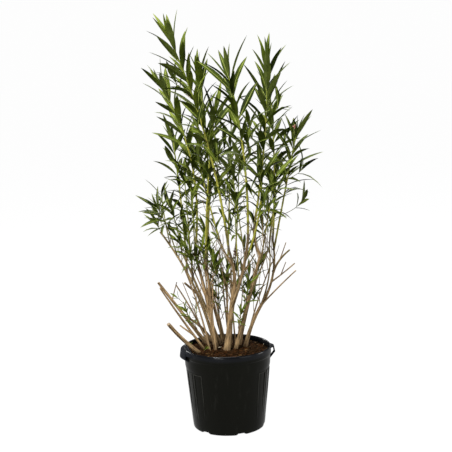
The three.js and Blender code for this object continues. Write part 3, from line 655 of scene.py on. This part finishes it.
# Where a limb starts, its tip, how far its middle stands off the chord, and the diameter at both
# ends. It starts at a foot in the compost or on another limb.
limbSizes = {
    "trunk": ((-3, -25), (29, -22, 492), (0, 0, 0), (20, 15)),
    "cane_low_stub": ((-101, -33), (-196, -95, 382), (-2, 4, -4), (13, 12)),
    "cane_thin_left": ((-80, 14), (-218, -45, 492), (-3, 0, 1), (9, 5)),
    "cane_long_cut": ((-68, 72), (-223, 76, 484), (-2, 0, 3), (13, 8.5)),
    "cane_dead": ((-48, 98), (-127, 128, 345), (7, 0, 6), (11, 7)),
    "cane_left": ((-36, 16), (-95, 97, 577), (5, 0, 0), (14, 9)),
    "cane_reach_left": ((-40, 46), (-209, 165, 643), (20, -2, 12), (11, 6)),
    "cane_mid_left": ((-22, 38), (-138, 92, 581), (4, 6, 0), (11, 6)),
    "cane_inner": ((-41, -14), (-62, 20, 560), (1, 0, 0), (9, 6.5)),
    "cane_back": ((-5, 86), (-57, 174, 545), (-6, 0, -2), (12, 8)),
    "cane_whip": ((-12, 58), (-21, 50, 380), (-3, 0, 1), (6, 4)),
    "cane_behind": ((16, 98), (19, 149, 492), (-5, 0, 0), (8, 6)),
    "cane_right": ((28, -15), (112, -58, 587), (-1, 0, 1), (12, 8.5)),
    "cane_small_right": ((54, 86), (79, 105, 403), (-1, 0, 0), (8, 5)),
    "cane_far_right": ((64, 16), (134, 26, 423), (-7, 1, 3), (13, 10)),
    "fork_tall": ("trunk", (12, -37, 605), (4, 0, 2), (11, 8)),
    "fork_left": (("fork_tall", 0.55), (-13, 11, 629), (-3, 0, -2), (7, 5.5)),
    "bough_centre": (("trunk", 0.65), (71, -85, 649), (8, 0, 0), (12, 8.5)),
    "fork_right_inner": ("cane_right", (92, -72, 679), (-5, 0, -1), (7.5, 7)),
    "fork_right_outer": (("cane_right", 0.9), (122, -99, 645), (3, 0, -1), (6, 4.5)),
    "slim_right": (("cane_right", 0.55), (152, 25, 600), (1, 0, -1), (6, 4.5)),
    "bough_far_right": ("cane_far_right", (167, 48, 618), (16, 0, -3), (8.5, 6.5)),
    "stub_right_low": (("cane_far_right", 0.84), (235, -16, 525), (-1, 0, 2), (5.5, 4)),
    "stub_right_mid": (("bough_far_right", 0.3), (244, 75, 531), (1, 0, -1), (5, 4)),
    "stub_right_high": (("bough_far_right", 0.48), (214, -25, 597), (-5, 0, 4), (8, 5)),
    "slim_far_right": (("cane_far_right", 0.8), (146, -30, 618), (14, -2, -2), (6, 4)),
    "twig_centre": (("bough_centre", 0.5), (88, -126, 605), (0, 0, 0), (3.6, 2.8)),
}
# Cut side stubs on a limb: share of its length, tip and diameters.
stubs = {
    "cane_thin_left": [(0.22, (-155, 41, 340), (6, 5))],
    "cane_long_cut": [(0.7, (-160, 98, 478), (4, 3))],
    "cane_dead": [(0.95, (-138, 142, 397), (4, 3))],
    "cane_left": [(0.42, (-66, 76, 573), (5.5, 3.5)), (0.5, (-110, 90, 543), (5, 3.5))],
    "cane_reach_left": [(0.42, (-134, 62, 482), (8, 7))],
    "cane_inner": [(0.35, (-36, 30, 580), (4.5, 3.2))],
    "cane_behind": [(0.5, (7, 108, 500), (4, 3))],
    "bough_centre": [(0.4, (97, -30, 589), (4.5, 3.2))],
    "stub_right_mid": [(0.4, (208, 32, 545), (3.2, 2.8))],
    "stub_right_high": [(0.5, (206, 4, 617), (3.6, 3))],
}
bark = {"sides": 20, "ring": 3.6, "flareReach": 22, "flareSize": 0.24, "collarReach": 9, "collarSize": 0.45,
        "nodeGap": 46, "nodeSwell": 0.09, "nodeWidth": 3.4, "ridge": 0.05, "lump": 0.05, "footDepth": 6,
        "thinFrom": 9, "thinSpan": 6, "youngAbove": 560}
curves = {}


# One limb: a unit cylinder cut into rings, each ring moved onto the curve and roughened.
def growRod(curve, thick, seed, rooted, young):
    length = curve.length()
    bm = bmesh.new()
    bmesh.ops.create_cone(bm, cap_ends=True, segments=bark["sides"], radius1=1, radius2=1, depth=1)
    walls = [e for e in bm.edges if abs(e.verts[0].co.z - e.verts[1].co.z) > 0.5]
    bmesh.ops.subdivide_edges(bm, edges=walls, cuts=max(4, round(length / (bark["ring"] * mm))) - 1)
    cutFace = max((f for f in bm.faces if len(f.verts) > 4), key=lambda f: f.calc_center_median().z)
    cutFace.material_index = 1
    bmesh.ops.inset_region(bm, faces=[cutFace], thickness=0.2)
    caneSpace = bm.verts.layers.float_vector.new("caneSpace")
    ageLayer = bm.verts.layers.float.new("age")
    for vert in bm.verts:
        t = vert.co.z + 0.5
        x, y = vert.co.x, vert.co.y
        along = t * length
        base = mix(thick[0], thick[1], t) / 2 * mm
        ridge = noise.noise(Vector((x * 3.1 + seed * 5, y * 3.1, along * 16))) * bark["ridge"]
        lump = noise.noise(Vector((x * 1.2 + seed * 9, y * 1.2, along * 55))) * bark["lump"]
        nodeNumber, nodeAway = divmod(along + seed * 11 * mm, bark["nodeGap"] * mm)
        nodeAway -= bark["nodeGap"] / 2 * mm
        swell = bark["nodeSwell"] * math.exp(-(nodeAway / (bark["nodeWidth"] * mm)) ** 2)
        swell *= 0.6 + 0.8 * noise.noise(Vector((x * 1.6, y * 1.6, seed * 3.3 + nodeNumber)))
        kind = "flare" if rooted else "collar"
        spread = bark[kind + "Size"] * math.exp(-along / (bark[kind + "Reach"] * mm))
        radius = base * (1 + ridge + lump + swell + spread * (1 + 2.5 * ridge if rooted else 1))
        axis, side, other = curve.axes(t)
        place = curve.point(t)
        if rooted and t < 1e-6:
            place -= axis * bark["footDepth"] * mm
        if t > 0.999 and math.hypot(x, y) < 0.9:
            place += axis * 0.5 * mm  # the cut end is slightly domed
        vert.co = place + side * (x * radius) + other * (y * radius)
        vert[caneSpace] = Vector((x * base + seed * 0.37, y * base, along))
        vert[ageLayer] = young * t
    bmesh.ops.recalc_face_normals(bm, faces=bm.faces[:])
    rod = bpy.data.meshes.new("rod")
    bm.to_mesh(rod)
    bm.free()
    return rod


def makeBark():
    rods = []
    for number, (name, (start, tip, bow, thick)) in enumerate(limbSizes.items()):
        rooted = start not in limbSizes and start[0] not in limbSizes
        foot = Vector((*start, soil["top"] + 0.3)) * mm if rooted else onLimb(start)
        curves[name] = BowedCurve(foot, Vector(tip) * mm, Vector(bow) * mm)
        thin = max(0.0, min(1.0, (bark["thinFrom"] - thick[1]) / bark["thinSpan"]))
        young = thin * (tip[2] > bark["youngAbove"])
        rods.append(growRod(curves[name], thick, number, rooted, young))
        for at, tip, thick in stubs.get(name, []):
            curve = BowedCurve(curves[name].point(at), Vector(tip) * mm, (0, 0, 0))
            rods.append(growRod(curve, thick, number + 40, False, 0.0))
    bm = bmesh.new()
    for rod in rods:
        bm.from_mesh(rod)
        bpy.data.meshes.remove(rod)
    addObject("canes", toMesh(bm, "canes", 50), ["bark", "cutWood"], "bark", list(limbSizes))


makeBark()

# ---------- flower heads ----------
# Groups of buds: middle, half size, number, lengths and relative widths of the buds, finish and seed.
heads = {
    "deadHead": ((35, -33, 597), (8, 7, 15), 46, (6, 11), (0.24, 0.4), "deadPetal", 51),
    "pinkHead": ((242, 3, 1001), (4, 4, 5), 14, (5, 8), (0.3, 0.4), "pinkBud", 52),
    "redHead": ((150, -12, 744), (4, 4, 9), 12, (6, 10), (0.25, 0.35), "pinkBud", 53),
}


def makeHead(name, middle, half, count, long, wide, finish, seed):
    rng = random.Random(seed)
    bm = bmesh.new()
    for _ in range(count):
        away = Vector((rng.gauss(0, 0.5), rng.gauss(0, 0.5), rng.gauss(0, 0.5)))
        length = rng.uniform(*long) * mm
        width = length * rng.uniform(*wide)
        bud = bmesh.ops.create_uvsphere(bm, u_segments=6, v_segments=4, radius=0.5)["verts"]
        for vert in bud:
            vert.co.x *= 1 - 0.6 * vert.co.z  # pointed at the top
            vert.co.y *= 1 - 0.6 * vert.co.z
        bmesh.ops.scale(bm, vec=(width, width, length), verts=bud)
        lean = (away + upward * 0.7).normalized().to_track_quat("Z", "Y").to_matrix()
        bmesh.ops.rotate(bm, verts=bud, cent=(0, 0, 0), matrix=lean)
        place = Vector(m + h * a for m, h, a in zip(middle, half, away)) * mm
        bmesh.ops.translate(bm, verts=bud, vec=place)
    bmesh.ops.recalc_face_normals(bm, faces=bm.faces[:])
    addObject(name, toMesh(bm, name, 60), [finish], "foliage")


for headName, head in heads.items():
    makeHead(headName, *head)

# ---------- shoots and sprays ----------
# A mass grows from one stem on a limb. Whorls of three narrow leaves stand on it above the "bare"
# share of its length; "leaf" is the leaf length at the lowest and highest whorl, "open" the angle
# between leaf and stem there, and "crest" the leaf length on the stem's tip.
massKeys = ("on", "tip", "bow", "bare", "whorls", "leaf", "open", "thick", "crest")
shoots = {
    "tall": ("fork_tall", (-155, -98, 1282), (22, -1, 17), 0.42, 12, (118, 128), (52, 22), (8, 4), 95),
    "centre": ("bough_centre", (21, -150, 1160), (16, -1, 6), 0.38, 8, (118, 140), (64, 34), (8, 4), 138),
    "right": ("fork_right_inner", (147, -70, 1186), (10, -1, 2), 0.3, 11, (122, 134), (60, 28), (7.5, 4), 112),
    "far_left": ("cane_left", (-180, 55, 1130), (44, -3, 15), 0.34, 9, (108, 124), (60, 24), (7.5, 4), 85),
    "back": ("cane_back", (-60, 150, 1165), (22, 10, 0), 0.36, 9, (110, 128), (60, 25), (7, 4), 85),
    "right_back": ("bough_far_right", (179, 138, 1105), (10, 0, 0), 0.28, 9, (108, 124), (66, 26), (7, 4), 80),
    "far_right": (("bough_far_right", 0.85), (244, 3, 965), (0, 0, 3),
                  0.42, 7, (96, 120), (70, 34), (6.5, 4), 75),
    "outer_left": (("cane_reach_left", 0.6), (-153, 201, 950), (5, 0, 0),
                   0.4, 7, (90, 110), (66, 24), (7, 4), 70),
    "left_inner": ("fork_left", (-75, 75, 905), (-3, 0, -1), 0.36, 7, (88, 110), (66, 32), (6, 3.6), 65),
    "mid_right": (("bough_centre", 0.66), (112, -145, 880), (20, 8, 0),
                  0.45, 5, (98, 112), (60, 28), (7, 4), 75),
    "low_left": (("cane_reach_left", 0.76), (-216, 75, 742), (4, 0, 4),
                 0.5, 6, (70, 92), (84, 44), (4.4, 3), 55),
    "behind": ("cane_behind", (50, 200, 1010), (0, 6, 0), 0.33, 8, (75, 102), (74, 34), (6, 3.4), 65),
    "inner": ("cane_inner", (-22, -34, 1050), (-8, 0, 0), 0.38, 8, (92, 116), (66, 30), (6, 3.4), 70),
}
sprays = {
    "outer_left": (("cane_reach_left", 0.86), (-200, 190, 770), (-3, 0, 0), 0.55, 3, (62, 84), (70, 34)),
    "front_left": ("cane_mid_left", (-172, 60, 738), (4, 0, 2), 0.5, 4, (60, 84), (70, 34)),
    "left_tall": (("cane_left", 0.93), (-98, 25, 800), (-4, 0, 1), 0.4, 5, (55, 79), (70, 36)),
    "left_front": (("cane_mid_left", 0.72), (-120, 18, 680), (-2, 0, 2), 0.12, 5, (56, 78), (72, 36)),
    "left_mid": (("cane_reach_left", 0.5), (-122, 100, 860), (0, 0, 2), 0.45, 5, (62, 96), (72, 36)),
    "back_outer": (("cane_back", 0.72), (-95, 245, 820), (-16, 12, 0), 0.3, 4, (58, 83), (68, 34)),
    "back_inner": (("cane_back", 0.84), (-30, 108, 880), (0, 0, 0), 0.4, 5, (62, 96), (70, 36)),
    "centre_front": (("bough_centre", 0.34), (30, -115, 787), (-3, 0, 2), 0.5, 5, (55, 84), (68, 34)),
    "centre_back": (("fork_tall", 0.25), (62, 78, 900), (4, 4, 0), 0.4, 5, (62, 96), (68, 34)),
    "centre": (("bough_centre", 0.7), (30, -15, 870), (0, 0, 0), 0.45, 5, (62, 96), (68, 34), (4, 3)),
    "whip": ("cane_whip", (-22, 36, 560), (0, 0, 0), 0.05, 6, (38, 59), (74, 38), (4, 2.8)),
    "small_right": ("cane_small_right", (90, 112, 480), (0, 0, 0), 0.1, 4, (52, 72), (66, 28)),
    "slim_right": ("slim_right", (192, 85, 860), (2, 0, 0), 0.3, 5, (65, 96), (68, 34), (4.6, 3)),
    "slim_far_right": ("slim_far_right", (170, -66, 800), (-3, 0, 0), 0.3, 4, (58, 84), (68, 34)),
    "fork_outer": ("fork_right_outer", (150, -165, 850), (0, 0, 0), 0.3, 4, (62, 90), (68, 34)),
    "dead_cane": (("cane_dead", 0.72), (-92, 128, 400), (0, 0, 0), 0.1, 5, (26, 38), (84, 50), (3.6, 2.8)),
}
droops = {"shoot": 0.4, "spray": 0.8}
masses = {}
seeds = {"shoot": (*range(11, 22), 37, 39), "spray": (*range(22, 37), 41)}
for massKind, rows in (("shoot", shoots), ("spray", sprays)):
    for (rowName, row), seed in zip(rows.items(), seeds[massKind]):
        base = {"thick": (4.4, 3), "crest": 0, "droop": droops[massKind], "kind": massKind, "seed": seed}
        masses[massKind + "_" + rowName] = dict(base, **dict(zip(massKeys, row)))
masses["shoot_centre"]["crestOpen"] = 22
masses["spray_dead_cane"]["droop"] = droops["shoot"]
for name in ("shoot_tall", "shoot_far_left"):
    masses[name]["tints"] = "bright"
for name in ("shoot_left_inner", "shoot_behind", "spray_centre_back"):
    masses[name]["twigs"] = 1
# The greens of a mass and how often each is dealt.
tintShares = {
    "bright": {"leafYoung": 0.3, "leafFresh": 0.5, "leafMid": 0.2},
    "shoot": {"leafFresh": 0.3, "leafMid": 0.45, "leafDeep": 0.25},
    "spray": {"leafFresh": 0.42, "leafMid": 0.5, "leafDeep": 0.08},
    "sprig": {"leafYoung": 0.3, "leafFresh": 0.6, "leafMid": 0.1},
}
leafShape = {"width": 0.17, "arch": 0.03, "stagger": 5, "crestOpen": 11, "crestWidth": 0.74, "fold": 0.24,
             "rib": 0.085, "blade": 0.0035, "keel": 0.012}
# Stations along a blade: share of the length and share of the half width.
bladeLong = ((0, 0.13), (0.06, 0.15), (0.16, 0.5), (0.3, 0.85), (0.46, 1), (0.62, 0.92), (0.78, 0.66),
             (0.91, 0.32))
bladeShort = ((0, 0.16), (0.2, 0.62), (0.48, 1), (0.78, 0.62))
# Finer twigs of a shoot and of a spray: how many, where on the stem, their reach and their leaves.
fineStem = {"whorls": 2, "open": (56, 30), "droop": 0.6, "bare": 0.3}
fine = {
    "shoot": {"count": 3, "span": (0.3, 0.75), "reach": (60, 120),
              "stem": dict(fineStem, thick=(2.2, 1.2), leaf=(66, 100))},
    "spray": {"count": 1, "span": (0.25, 0.7), "reach": (45, 90),
              "stem": dict(fineStem, thick=(1.8, 1.1), leaf=(60, 90))},
    "spare": 3,  # how far they may pass their mass's own space
    "without": ("spray_front_left", "spray_left_front", "spray_outer_left", "shoot_low_left",
                "shoot_outer_left"),
}


# The same seeded numbers as the solids use.
def seeded(seed):
    state = [seed * 7919]

    def draw():
        state[0] = (state[0] * 16807) % 2147483647
        return state[0] / 2147483647
    return draw


def massStems(mass, draw):
    main = dict(mass, twist=math.tau * draw())
    stems = [main]
    for j in range(mass.get("twigs", 0)):
        t = mass["bare"] + (1 - mass["bare"]) * (0.1 + 0.3 * draw())
        axis, outward = main["curve"].sprout(t, math.tau * draw())
        reach = mass["leaf"][1] * mm * (1 + 0.4 * draw())
        start = main["curve"].point(t)
        end = start + axis * (0.75 * reach) + outward * (0.65 * reach)
        stems.append(dict(mass, curve=BowedCurve(start, end, (0, 0, -0.06 * reach)),
                          thick=(mass["thick"][1] * 1.1, mass["thick"][1] * 0.8),
                          leaf=tuple(0.75 * length for length in mass["leaf"]), bare=0.45, whorls=3, crest=0,
                          twist=math.tau * draw()))
    return stems


# The same leaves as the solids carry: whorls of three, each turned by half a step from the last,
# and a tight whorl on the tip of a shoot.
def stemLeaves(stem, draw):
    leaves = []
    crest = stem.get("crest", 0)
    for i in range(stem["whorls"] + (1 if crest else 0)):
        crowning = i == stem["whorls"]
        share = min(1.0, (i + 0.5) / stem["whorls"])
        t = min(1.0 if crowning else 0.985, stem["bare"] + (1 - stem["bare"]) * (i + 1) / stem["whorls"])
        for k in range(3):
            turn = math.radians(i * 60 + k * 120 + 24 * (draw() - 0.5)) + stem["twist"]
            spread = stem.get("crestOpen", leafShape["crestOpen"]) if crowning else mix(*stem["open"], share)
            spread = math.radians(spread + 14 * (draw() - 0.5))
            length = (crest if crowning else mix(*stem["leaf"], share)) * (0.82 + 0.36 * draw()) * mm
            axis, outward = stem["curve"].sprout(t, turn)
            leaves.append({"base": stem["curve"].point(t) + axis * (leafShape["stagger"] * (k - 2) * mm),
                           "direction": axis * math.cos(spread) + outward * math.sin(spread), "axis": axis,
                           "length": length, "droop": stem["droop"] * (1 - share) * draw(), "share": share})
    return leaves


# Finer twigs of a mass, which the solids leave out.
def fineStems(mass, rng, rule):
    stems = []
    for j in range(rule["count"]):
        t = mix(*rule["span"], (j + rng.random()) / rule["count"])
        axis, outward = mass["curve"].sprout(t, math.tau * rng.random())
        reach = rng.uniform(*rule["reach"]) * mm
        start = mass["curve"].point(t)
        end = start + axis * (rng.uniform(0.55, 0.95) * reach) + outward * (0.6 * reach)
        curve = BowedCurve(start, end, outward * (0.1 * reach))
        stems.append(dict(rule["stem"], curve=curve, twist=math.tau * rng.random()))
    return stems


def within(point, box):
    spare = fine["spare"] * mm
    return all(low - spare < value < high + spare for value, low, high in zip(point, *box))


# Thin side twigs on the canes; some carry a few small leaves, the rest are dry. The leafy limbs have
# more leaves, on shorter twigs near their tops.
sideTwigs = {"perMetre": 13, "span": (0.42, 0.97), "reach": (70, 170), "leafy": 0.16, "seed": 77,
             "bareLimbs": ("cane_low_stub", "cane_thin_left", "cane_long_cut", "cane_dead", "twig_centre"),
             "leafyLimbs": ("cane_left", "cane_mid_left", "cane_reach_left"),
             "leafyShare": 0.42, "leafyReach": 0.62, "leafySpan": (0.64, 1.0),
             "stem": dict(fineStem, thick=(2.8, 1.4), leaf=(54, 82), bare=0.6)}
# Whips that rise from the compost between the canes: their feet, and how far their tips spread.
# Each carries one side twig, "twigAt" these shares of its length.
whips = {"feet": ((-58, 30), (-24, 70), (8, 44), (20, 60), (44, 40), (12, -2), (-14, 92), (40, 76)),
         "spread": (1.5, 0.9), "height": (430, 600), "leafy": 0.2, "leafyTwigs": 0.5, "twigSize": 0.7,
         "twigAt": (0.55, 0.85), "bow": (-8, 8),
         "stem": dict(sideTwigs["stem"], thick=(5.0, 2.4), whorls=3, droop=droops["shoot"])}
# Slender woody canes in the clump: foot, tip, thickness at both ends. The tall ones carry twigs.
slimCanes = (
    ((-59, -16), (-134, 70, 532), (7, 4)), ((-34, 17), (-91, 97, 560), (7, 4)),
    ((-1, 87), (-45, 113, 491), (6, 3.5)), ((13, 84), (-12, 91, 585), (6, 4)),
    ((46, 28), (137, 81, 574), (7, 4)), ((67, 36), (169, 98, 534), (6, 4)),
    ((-61, 72), (-162, 132, 461), (7, 4.5)), ((30, 5), (23, 38, 552), (6, 4)),
)
slimTwigs = {"above": 480, "at": (0.55, 0.8, 0.95)}
# Leafy sprigs low in the clump and two on the compost: foot, tip, leaf lengths and number of whorls.
sprigs = (
    ((52, -40, 400), (72, -64, 492), (46, 62), 3), ((36, -30, 340), (46, -52, 400), (34, 46), 4),
    ((-6, 60, 350), (-24, 40, 432), (36, 50), 3), ((-98, 24, 330), (-138, 6, 402), (30, 44), 5),
    ((-112, 44, 388), (-160, 24, 440), (30, 42), 2), ((-34, 40, 440), (-24, 24, 535), (40, 56), 3),
    ((-8, 20, 455), (8, -4, 545), (40, 56), 3), ((-92, 60, 500), (-116, 34, 590), (44, 62), 4),
    ((-66, 50, 520), (-72, 10, 610), (44, 62), 4), ((-110, 86, 540), (-150, 60, 625), (44, 60), 3),
    ((-80, -14, 262), (-72, -20, 272), (12, 17), 4), ((-122, 56, 256), (-120, 54, 274), (10, 14), 3),
)
sprigStem = dict(fineStem, thick=(2.8, 1.4), open=(64, 30), bare=0.1, droop=0.5, family="sprig", broad=1.25)


def sideTwig(curve, t, rng, size=1.0, family="spray"):
    axis, outward = curve.sprout(t, math.tau * rng.random())
    reach = rng.uniform(*sideTwigs["reach"]) * mm * size
    start = curve.point(t)
    if outward.dot(Vector((start.x, start.y, 0)).normalized()) > 0.1:
        outward = -outward  # never away from the clump
    end = start + (axis + upward * 0.5).normalized() * (0.9 * reach) + outward * (0.32 * reach)
    return dict(sideTwigs["stem"], curve=BowedCurve(start, end, outward * (0.07 * reach)),
                twist=math.tau * rng.random(), family=family)


def growSideTwigs():
    rng = random.Random(sideTwigs["seed"])
    leafy, dry = [], []
    for name in limbSizes:
        if name in sideTwigs["bareLimbs"] or name.startswith("stub"):
            continue
        count = round(curves[name].length() * sideTwigs["perMetre"])
        dense = name in sideTwigs["leafyLimbs"]
        span, share = ("leafySpan", "leafyShare") if dense else ("span", "leafy")
        size, family = (sideTwigs["leafyReach"], "sprig") if dense else (1.0, "spray")
        for j in range(count):
            t = mix(*sideTwigs[span], (j + rng.random()) / count)
            twig = sideTwig(curves[name], t, rng, size, family)
            (leafy if rng.random() < sideTwigs[share] else dry).append(twig)
    for (x, y), tip, thick in slimCanes:
        foot = Vector((x, y, soil["top"] - 3)) * mm
        curve = BowedCurve(foot, Vector(tip) * mm, Vector((-x, -y, 0)) * (0.12 * mm))
        dry.append({"curve": curve, "thick": thick})
        if tip[2] > slimTwigs["above"]:
            dry += [sideTwig(curve, t, rng) for t in slimTwigs["at"]]
    for foot, tip, leaf, whorls in sprigs:
        curve = BowedCurve(Vector(foot) * mm, Vector(tip) * mm, (0, 0, 0))
        leafy.append(dict(sprigStem, curve=curve, leaf=leaf, whorls=whorls, twist=math.tau * rng.random()))
    spreadX, spreadY = whips["spread"]
    for x, y in whips["feet"]:
        foot = Vector((x, y, soil["top"] - 5)) * mm
        tip = Vector((x * (1 + spreadX * rng.random()), y * (1 + spreadY * rng.random()),
                      rng.uniform(*whips["height"]))) * mm
        curve = BowedCurve(foot, tip, (rng.uniform(*whips["bow"]) * mm, rng.uniform(*whips["bow"]) * mm, 0))
        whip = dict(whips["stem"], curve=curve, twist=math.tau * rng.random())
        (leafy if rng.random() < whips["leafy"] else dry).append(whip)
        twig = sideTwig(curve, rng.uniform(*whips["twigAt"]), rng, whips["twigSize"], "sprig")
        (leafy if rng.random() < whips["leafyTwigs"] else dry).append(twig)
    return leafy, dry


# ---------- joined leaves and stems ----------
# The blade that all leaves share, a closed folded strip: per point the share of the length, the
# place across, the lift that goes with the width and the lift that doesn't.
def bladeTemplate(stations):
    points, faces, kinds = [], [], []
    rib, fold, blade = (leafShape[k] for k in ("rib", "fold", "blade"))
    for share, half in stations:
        narrow = min(half * 0.5, rib)
        keel = leafShape["keel"] * (1.15 - 0.8 * share)
        inner = fold * narrow * 0.4
        points += [(share, -half, fold * half, 0), (share, -narrow, inner, blade),
                   (share, narrow, inner, blade), (share, half, fold * half, 0), (share, 0, 0, -keel)]
    points.append((1.0, 0, 0, 0))
    ring = ((0, 1, "top"), (1, 2, "rib"), (2, 3, "top"), (3, 4, "back"), (4, 0, "back"))
    last = 5 * (len(stations) - 1)
    for first in range(0, last + 1, 5):
        for a, b, kind in ring:
            ahead = (len(points) - 1,) if first == last else (first + 5 + b, first + 5 + a)
            faces.append((first + a, first + b, *ahead))
            kinds.append(kind)
    return np.array(points), faces + [(4, 3, 2, 1, 0)], kinds + ["back"]


def joinBlades(name, leaves, stations, replaced):
    template, faces, kinds = bladeTemplate(stations)
    materials = ["leafBack", "leafRib", "leafYoung", "leafFresh", "leafMid", "leafDeep"]
    rows, allFaces, allKinds = [], [], []
    for number, leaf in enumerate(leaves):
        across = leaf["direction"].cross(leaf["axis"]).normalized()
        face = across.cross(leaf["direction"]).normalized()
        rolled = Matrix.Rotation(leaf["roll"], 3, leaf["direction"])
        sizes = [leaf[k] for k in ("length", "droop", "bend", "sway", "wide")]
        rows.append([*leaf["base"], *leaf["direction"], *(rolled @ across), *(rolled @ face), *sizes])
        shift = number * len(template)
        index = {"top": materials.index(leaf["tint"]), "back": materials.index(leaf["under"]), "rib": 1}
        allFaces += [tuple(shift + corner for corner in face) for face in faces]
        allKinds += [index[kind] for kind in kinds]
    rows = np.array(rows)[:, None, :]
    base, along, across, upper = (rows[:, :, i:i + 3] for i in (0, 3, 6, 9))
    length, droop, bend, sway, wide = (rows[:, :, i:i + 1] for i in range(12, 17))
    share, place, lift, thick = (template[None, :, i:i + 1] for i in range(4))
    halfWidth = leafShape["width"] / 2 * wide
    rise = 4 * share * (1 - share)
    points = base + along * length * share
    points = points + across * length * (halfWidth * place + sway * rise)
    points = points + upper * length * (halfWidth * lift + thick + bend * rise)
    points[:, :, 2:] -= length * droop * share ** 2
    mesh = bpy.data.meshes.new(name)
    mesh.from_pydata(points.reshape(-1, 3).tolist(), [], allFaces)
    addObject(name, smooth(mesh, 34), materials, "foliage", replaced)
    mesh.polygons.foreach_set("material_index", allKinds)
    print("   ", len(leaves), "blades")


# Rings of points along every curve, closed at both ends. A stem's "changes" are the shares of its
# length where its finish changes to the next.
def joinStems(name, stems, sides, ring, materials, slotName="foliage"):
    points, faces, kinds = [], [], []
    for stem in stems:
        rings = max(3, round(stem["curve"].length() / (ring * mm)))
        first = len(points)
        for i in range(rings + 1):
            t = i / rings
            axis, side, other = stem["curve"].axes(t)
            centre = stem["curve"].point(t)
            swell = 1 + 0.16 * stem.get("swell", 0) * (i % 3 == 0)
            radius = mix(*stem["thick"], t) / 2 * mm * swell
            for k in range(sides):
                angle = math.tau * k / sides
                points.append(centre + side * (radius * math.cos(angle)) + other * (radius * math.sin(angle)))
        for i in range(rings):
            for k in range(sides):
                a, b = first + i * sides + k, first + i * sides + (k + 1) % sides
                faces.append((a, b, b + sides, a + sides))
                kinds.append(sum((i + 0.5) / rings >= change for change in stem["changes"]))
        faces.append(tuple(first + k for k in reversed(range(sides))))
        faces.append(tuple(first + rings * sides + k for k in range(sides)))
        kinds += [0, len(stem["changes"])]
    mesh = bpy.data.meshes.new(name)
    mesh.from_pydata([tuple(p) for p in points], [], faces)
    bm = bmesh.new()
    bm.from_mesh(mesh)
    bmesh.ops.recalc_face_normals(bm, faces=bm.faces[:])
    bm.to_mesh(mesh)
    bm.free()
    addObject(name, smooth(mesh, 50), materials, slotName)
    mesh.polygons.foreach_set("material_index", kinds)


def dressLeaf(leaf, rng, family, low, broad=1.0):
    leaf["roll"] = rng.gauss(0, 0.22)
    leaf["bend"] = leafShape["arch"] * rng.uniform(0.6, 1.6) + 0.05 * low * rng.random()
    leaf["sway"] = rng.gauss(0, 0.012)
    leaf["wide"] = rng.uniform(0.82, 1.06) * broad * (leafShape["crestWidth"] if leaf["share"] > 0.9 else 1.0)
    shares = tintShares[family]
    leaf["tint"] = rng.choices(list(shares), list(shares.values()))[0]
    leaf["under"] = "leafBack" if rng.random() < 0.5 else leaf["tint"]
    return leaf


def growMasses():
    stems, twigs, fineLeaves = [], [], []
    leaves = {"shoot": [], "spray": []}
    for name, mass in masses.items():
        kind = mass["kind"]
        mass["curve"] = BowedCurve(onLimb(mass["on"]), Vector(mass["tip"]) * mm, Vector(mass["bow"]) * mm)
        draw = seeded(mass["seed"])
        rng = random.Random(mass["seed"])
        changes = (0.03, 0.1, 0.7) if mass["thick"][0] >= 6 else (0.12, 0.4, 0.6)
        grown = massStems(mass, draw)
        stems += [dict(stem, changes=changes, swell=1) for stem in grown]
        for leaf in [leaf for stem in grown for leaf in stemLeaves(stem, draw)]:
            leaves[kind].append(dressLeaf(leaf, rng, mass.get("tints", kind), 1 - leaf["share"]))
        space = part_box(name)
        for stem in fineStems(mass, rng, fine[kind]):
            if name in fine["without"] or not within(stem["curve"].end, space):
                continue
            twigs.append(dict(stem, changes=(0.3,)))
            for leaf in stemLeaves(stem, rng.random):
                if within(leaf["base"] + leaf["direction"] * leaf["length"], space):
                    fineLeaves.append(dressLeaf(leaf, rng, "spray", 1))
    rng = random.Random(sideTwigs["seed"])
    leafy, dry = growSideTwigs()
    for stem in leafy:
        twigs.append(dict(stem, changes=(0.65,)))
        family, broad = stem.get("family", "spray"), stem.get("broad", 1.0)
        fineLeaves += [dressLeaf(leaf, rng, family, 1, broad) for leaf in stemLeaves(stem, rng.random)]
    for kind in leaves:
        replaced = [name for name, mass in masses.items() if mass["kind"] == kind]
        joinBlades(kind + "_leaves", leaves[kind], bladeLong, replaced)
    joinBlades("fine_leaves", fineLeaves, bladeShort, ())
    joinStems("young_stems", stems, 10, 9, ["stemBrown", "stemHalfRipe", "stemYellow", "stemGreen"])
    joinStems("fine_twigs", twigs, 5, 10, ["twigBark", "stemGreen"])
    joinStems("dry_twigs", [dict(stem, changes=()) for stem in dry], 6, 10, ["twigBark"], slotName="bark")


growMasses()
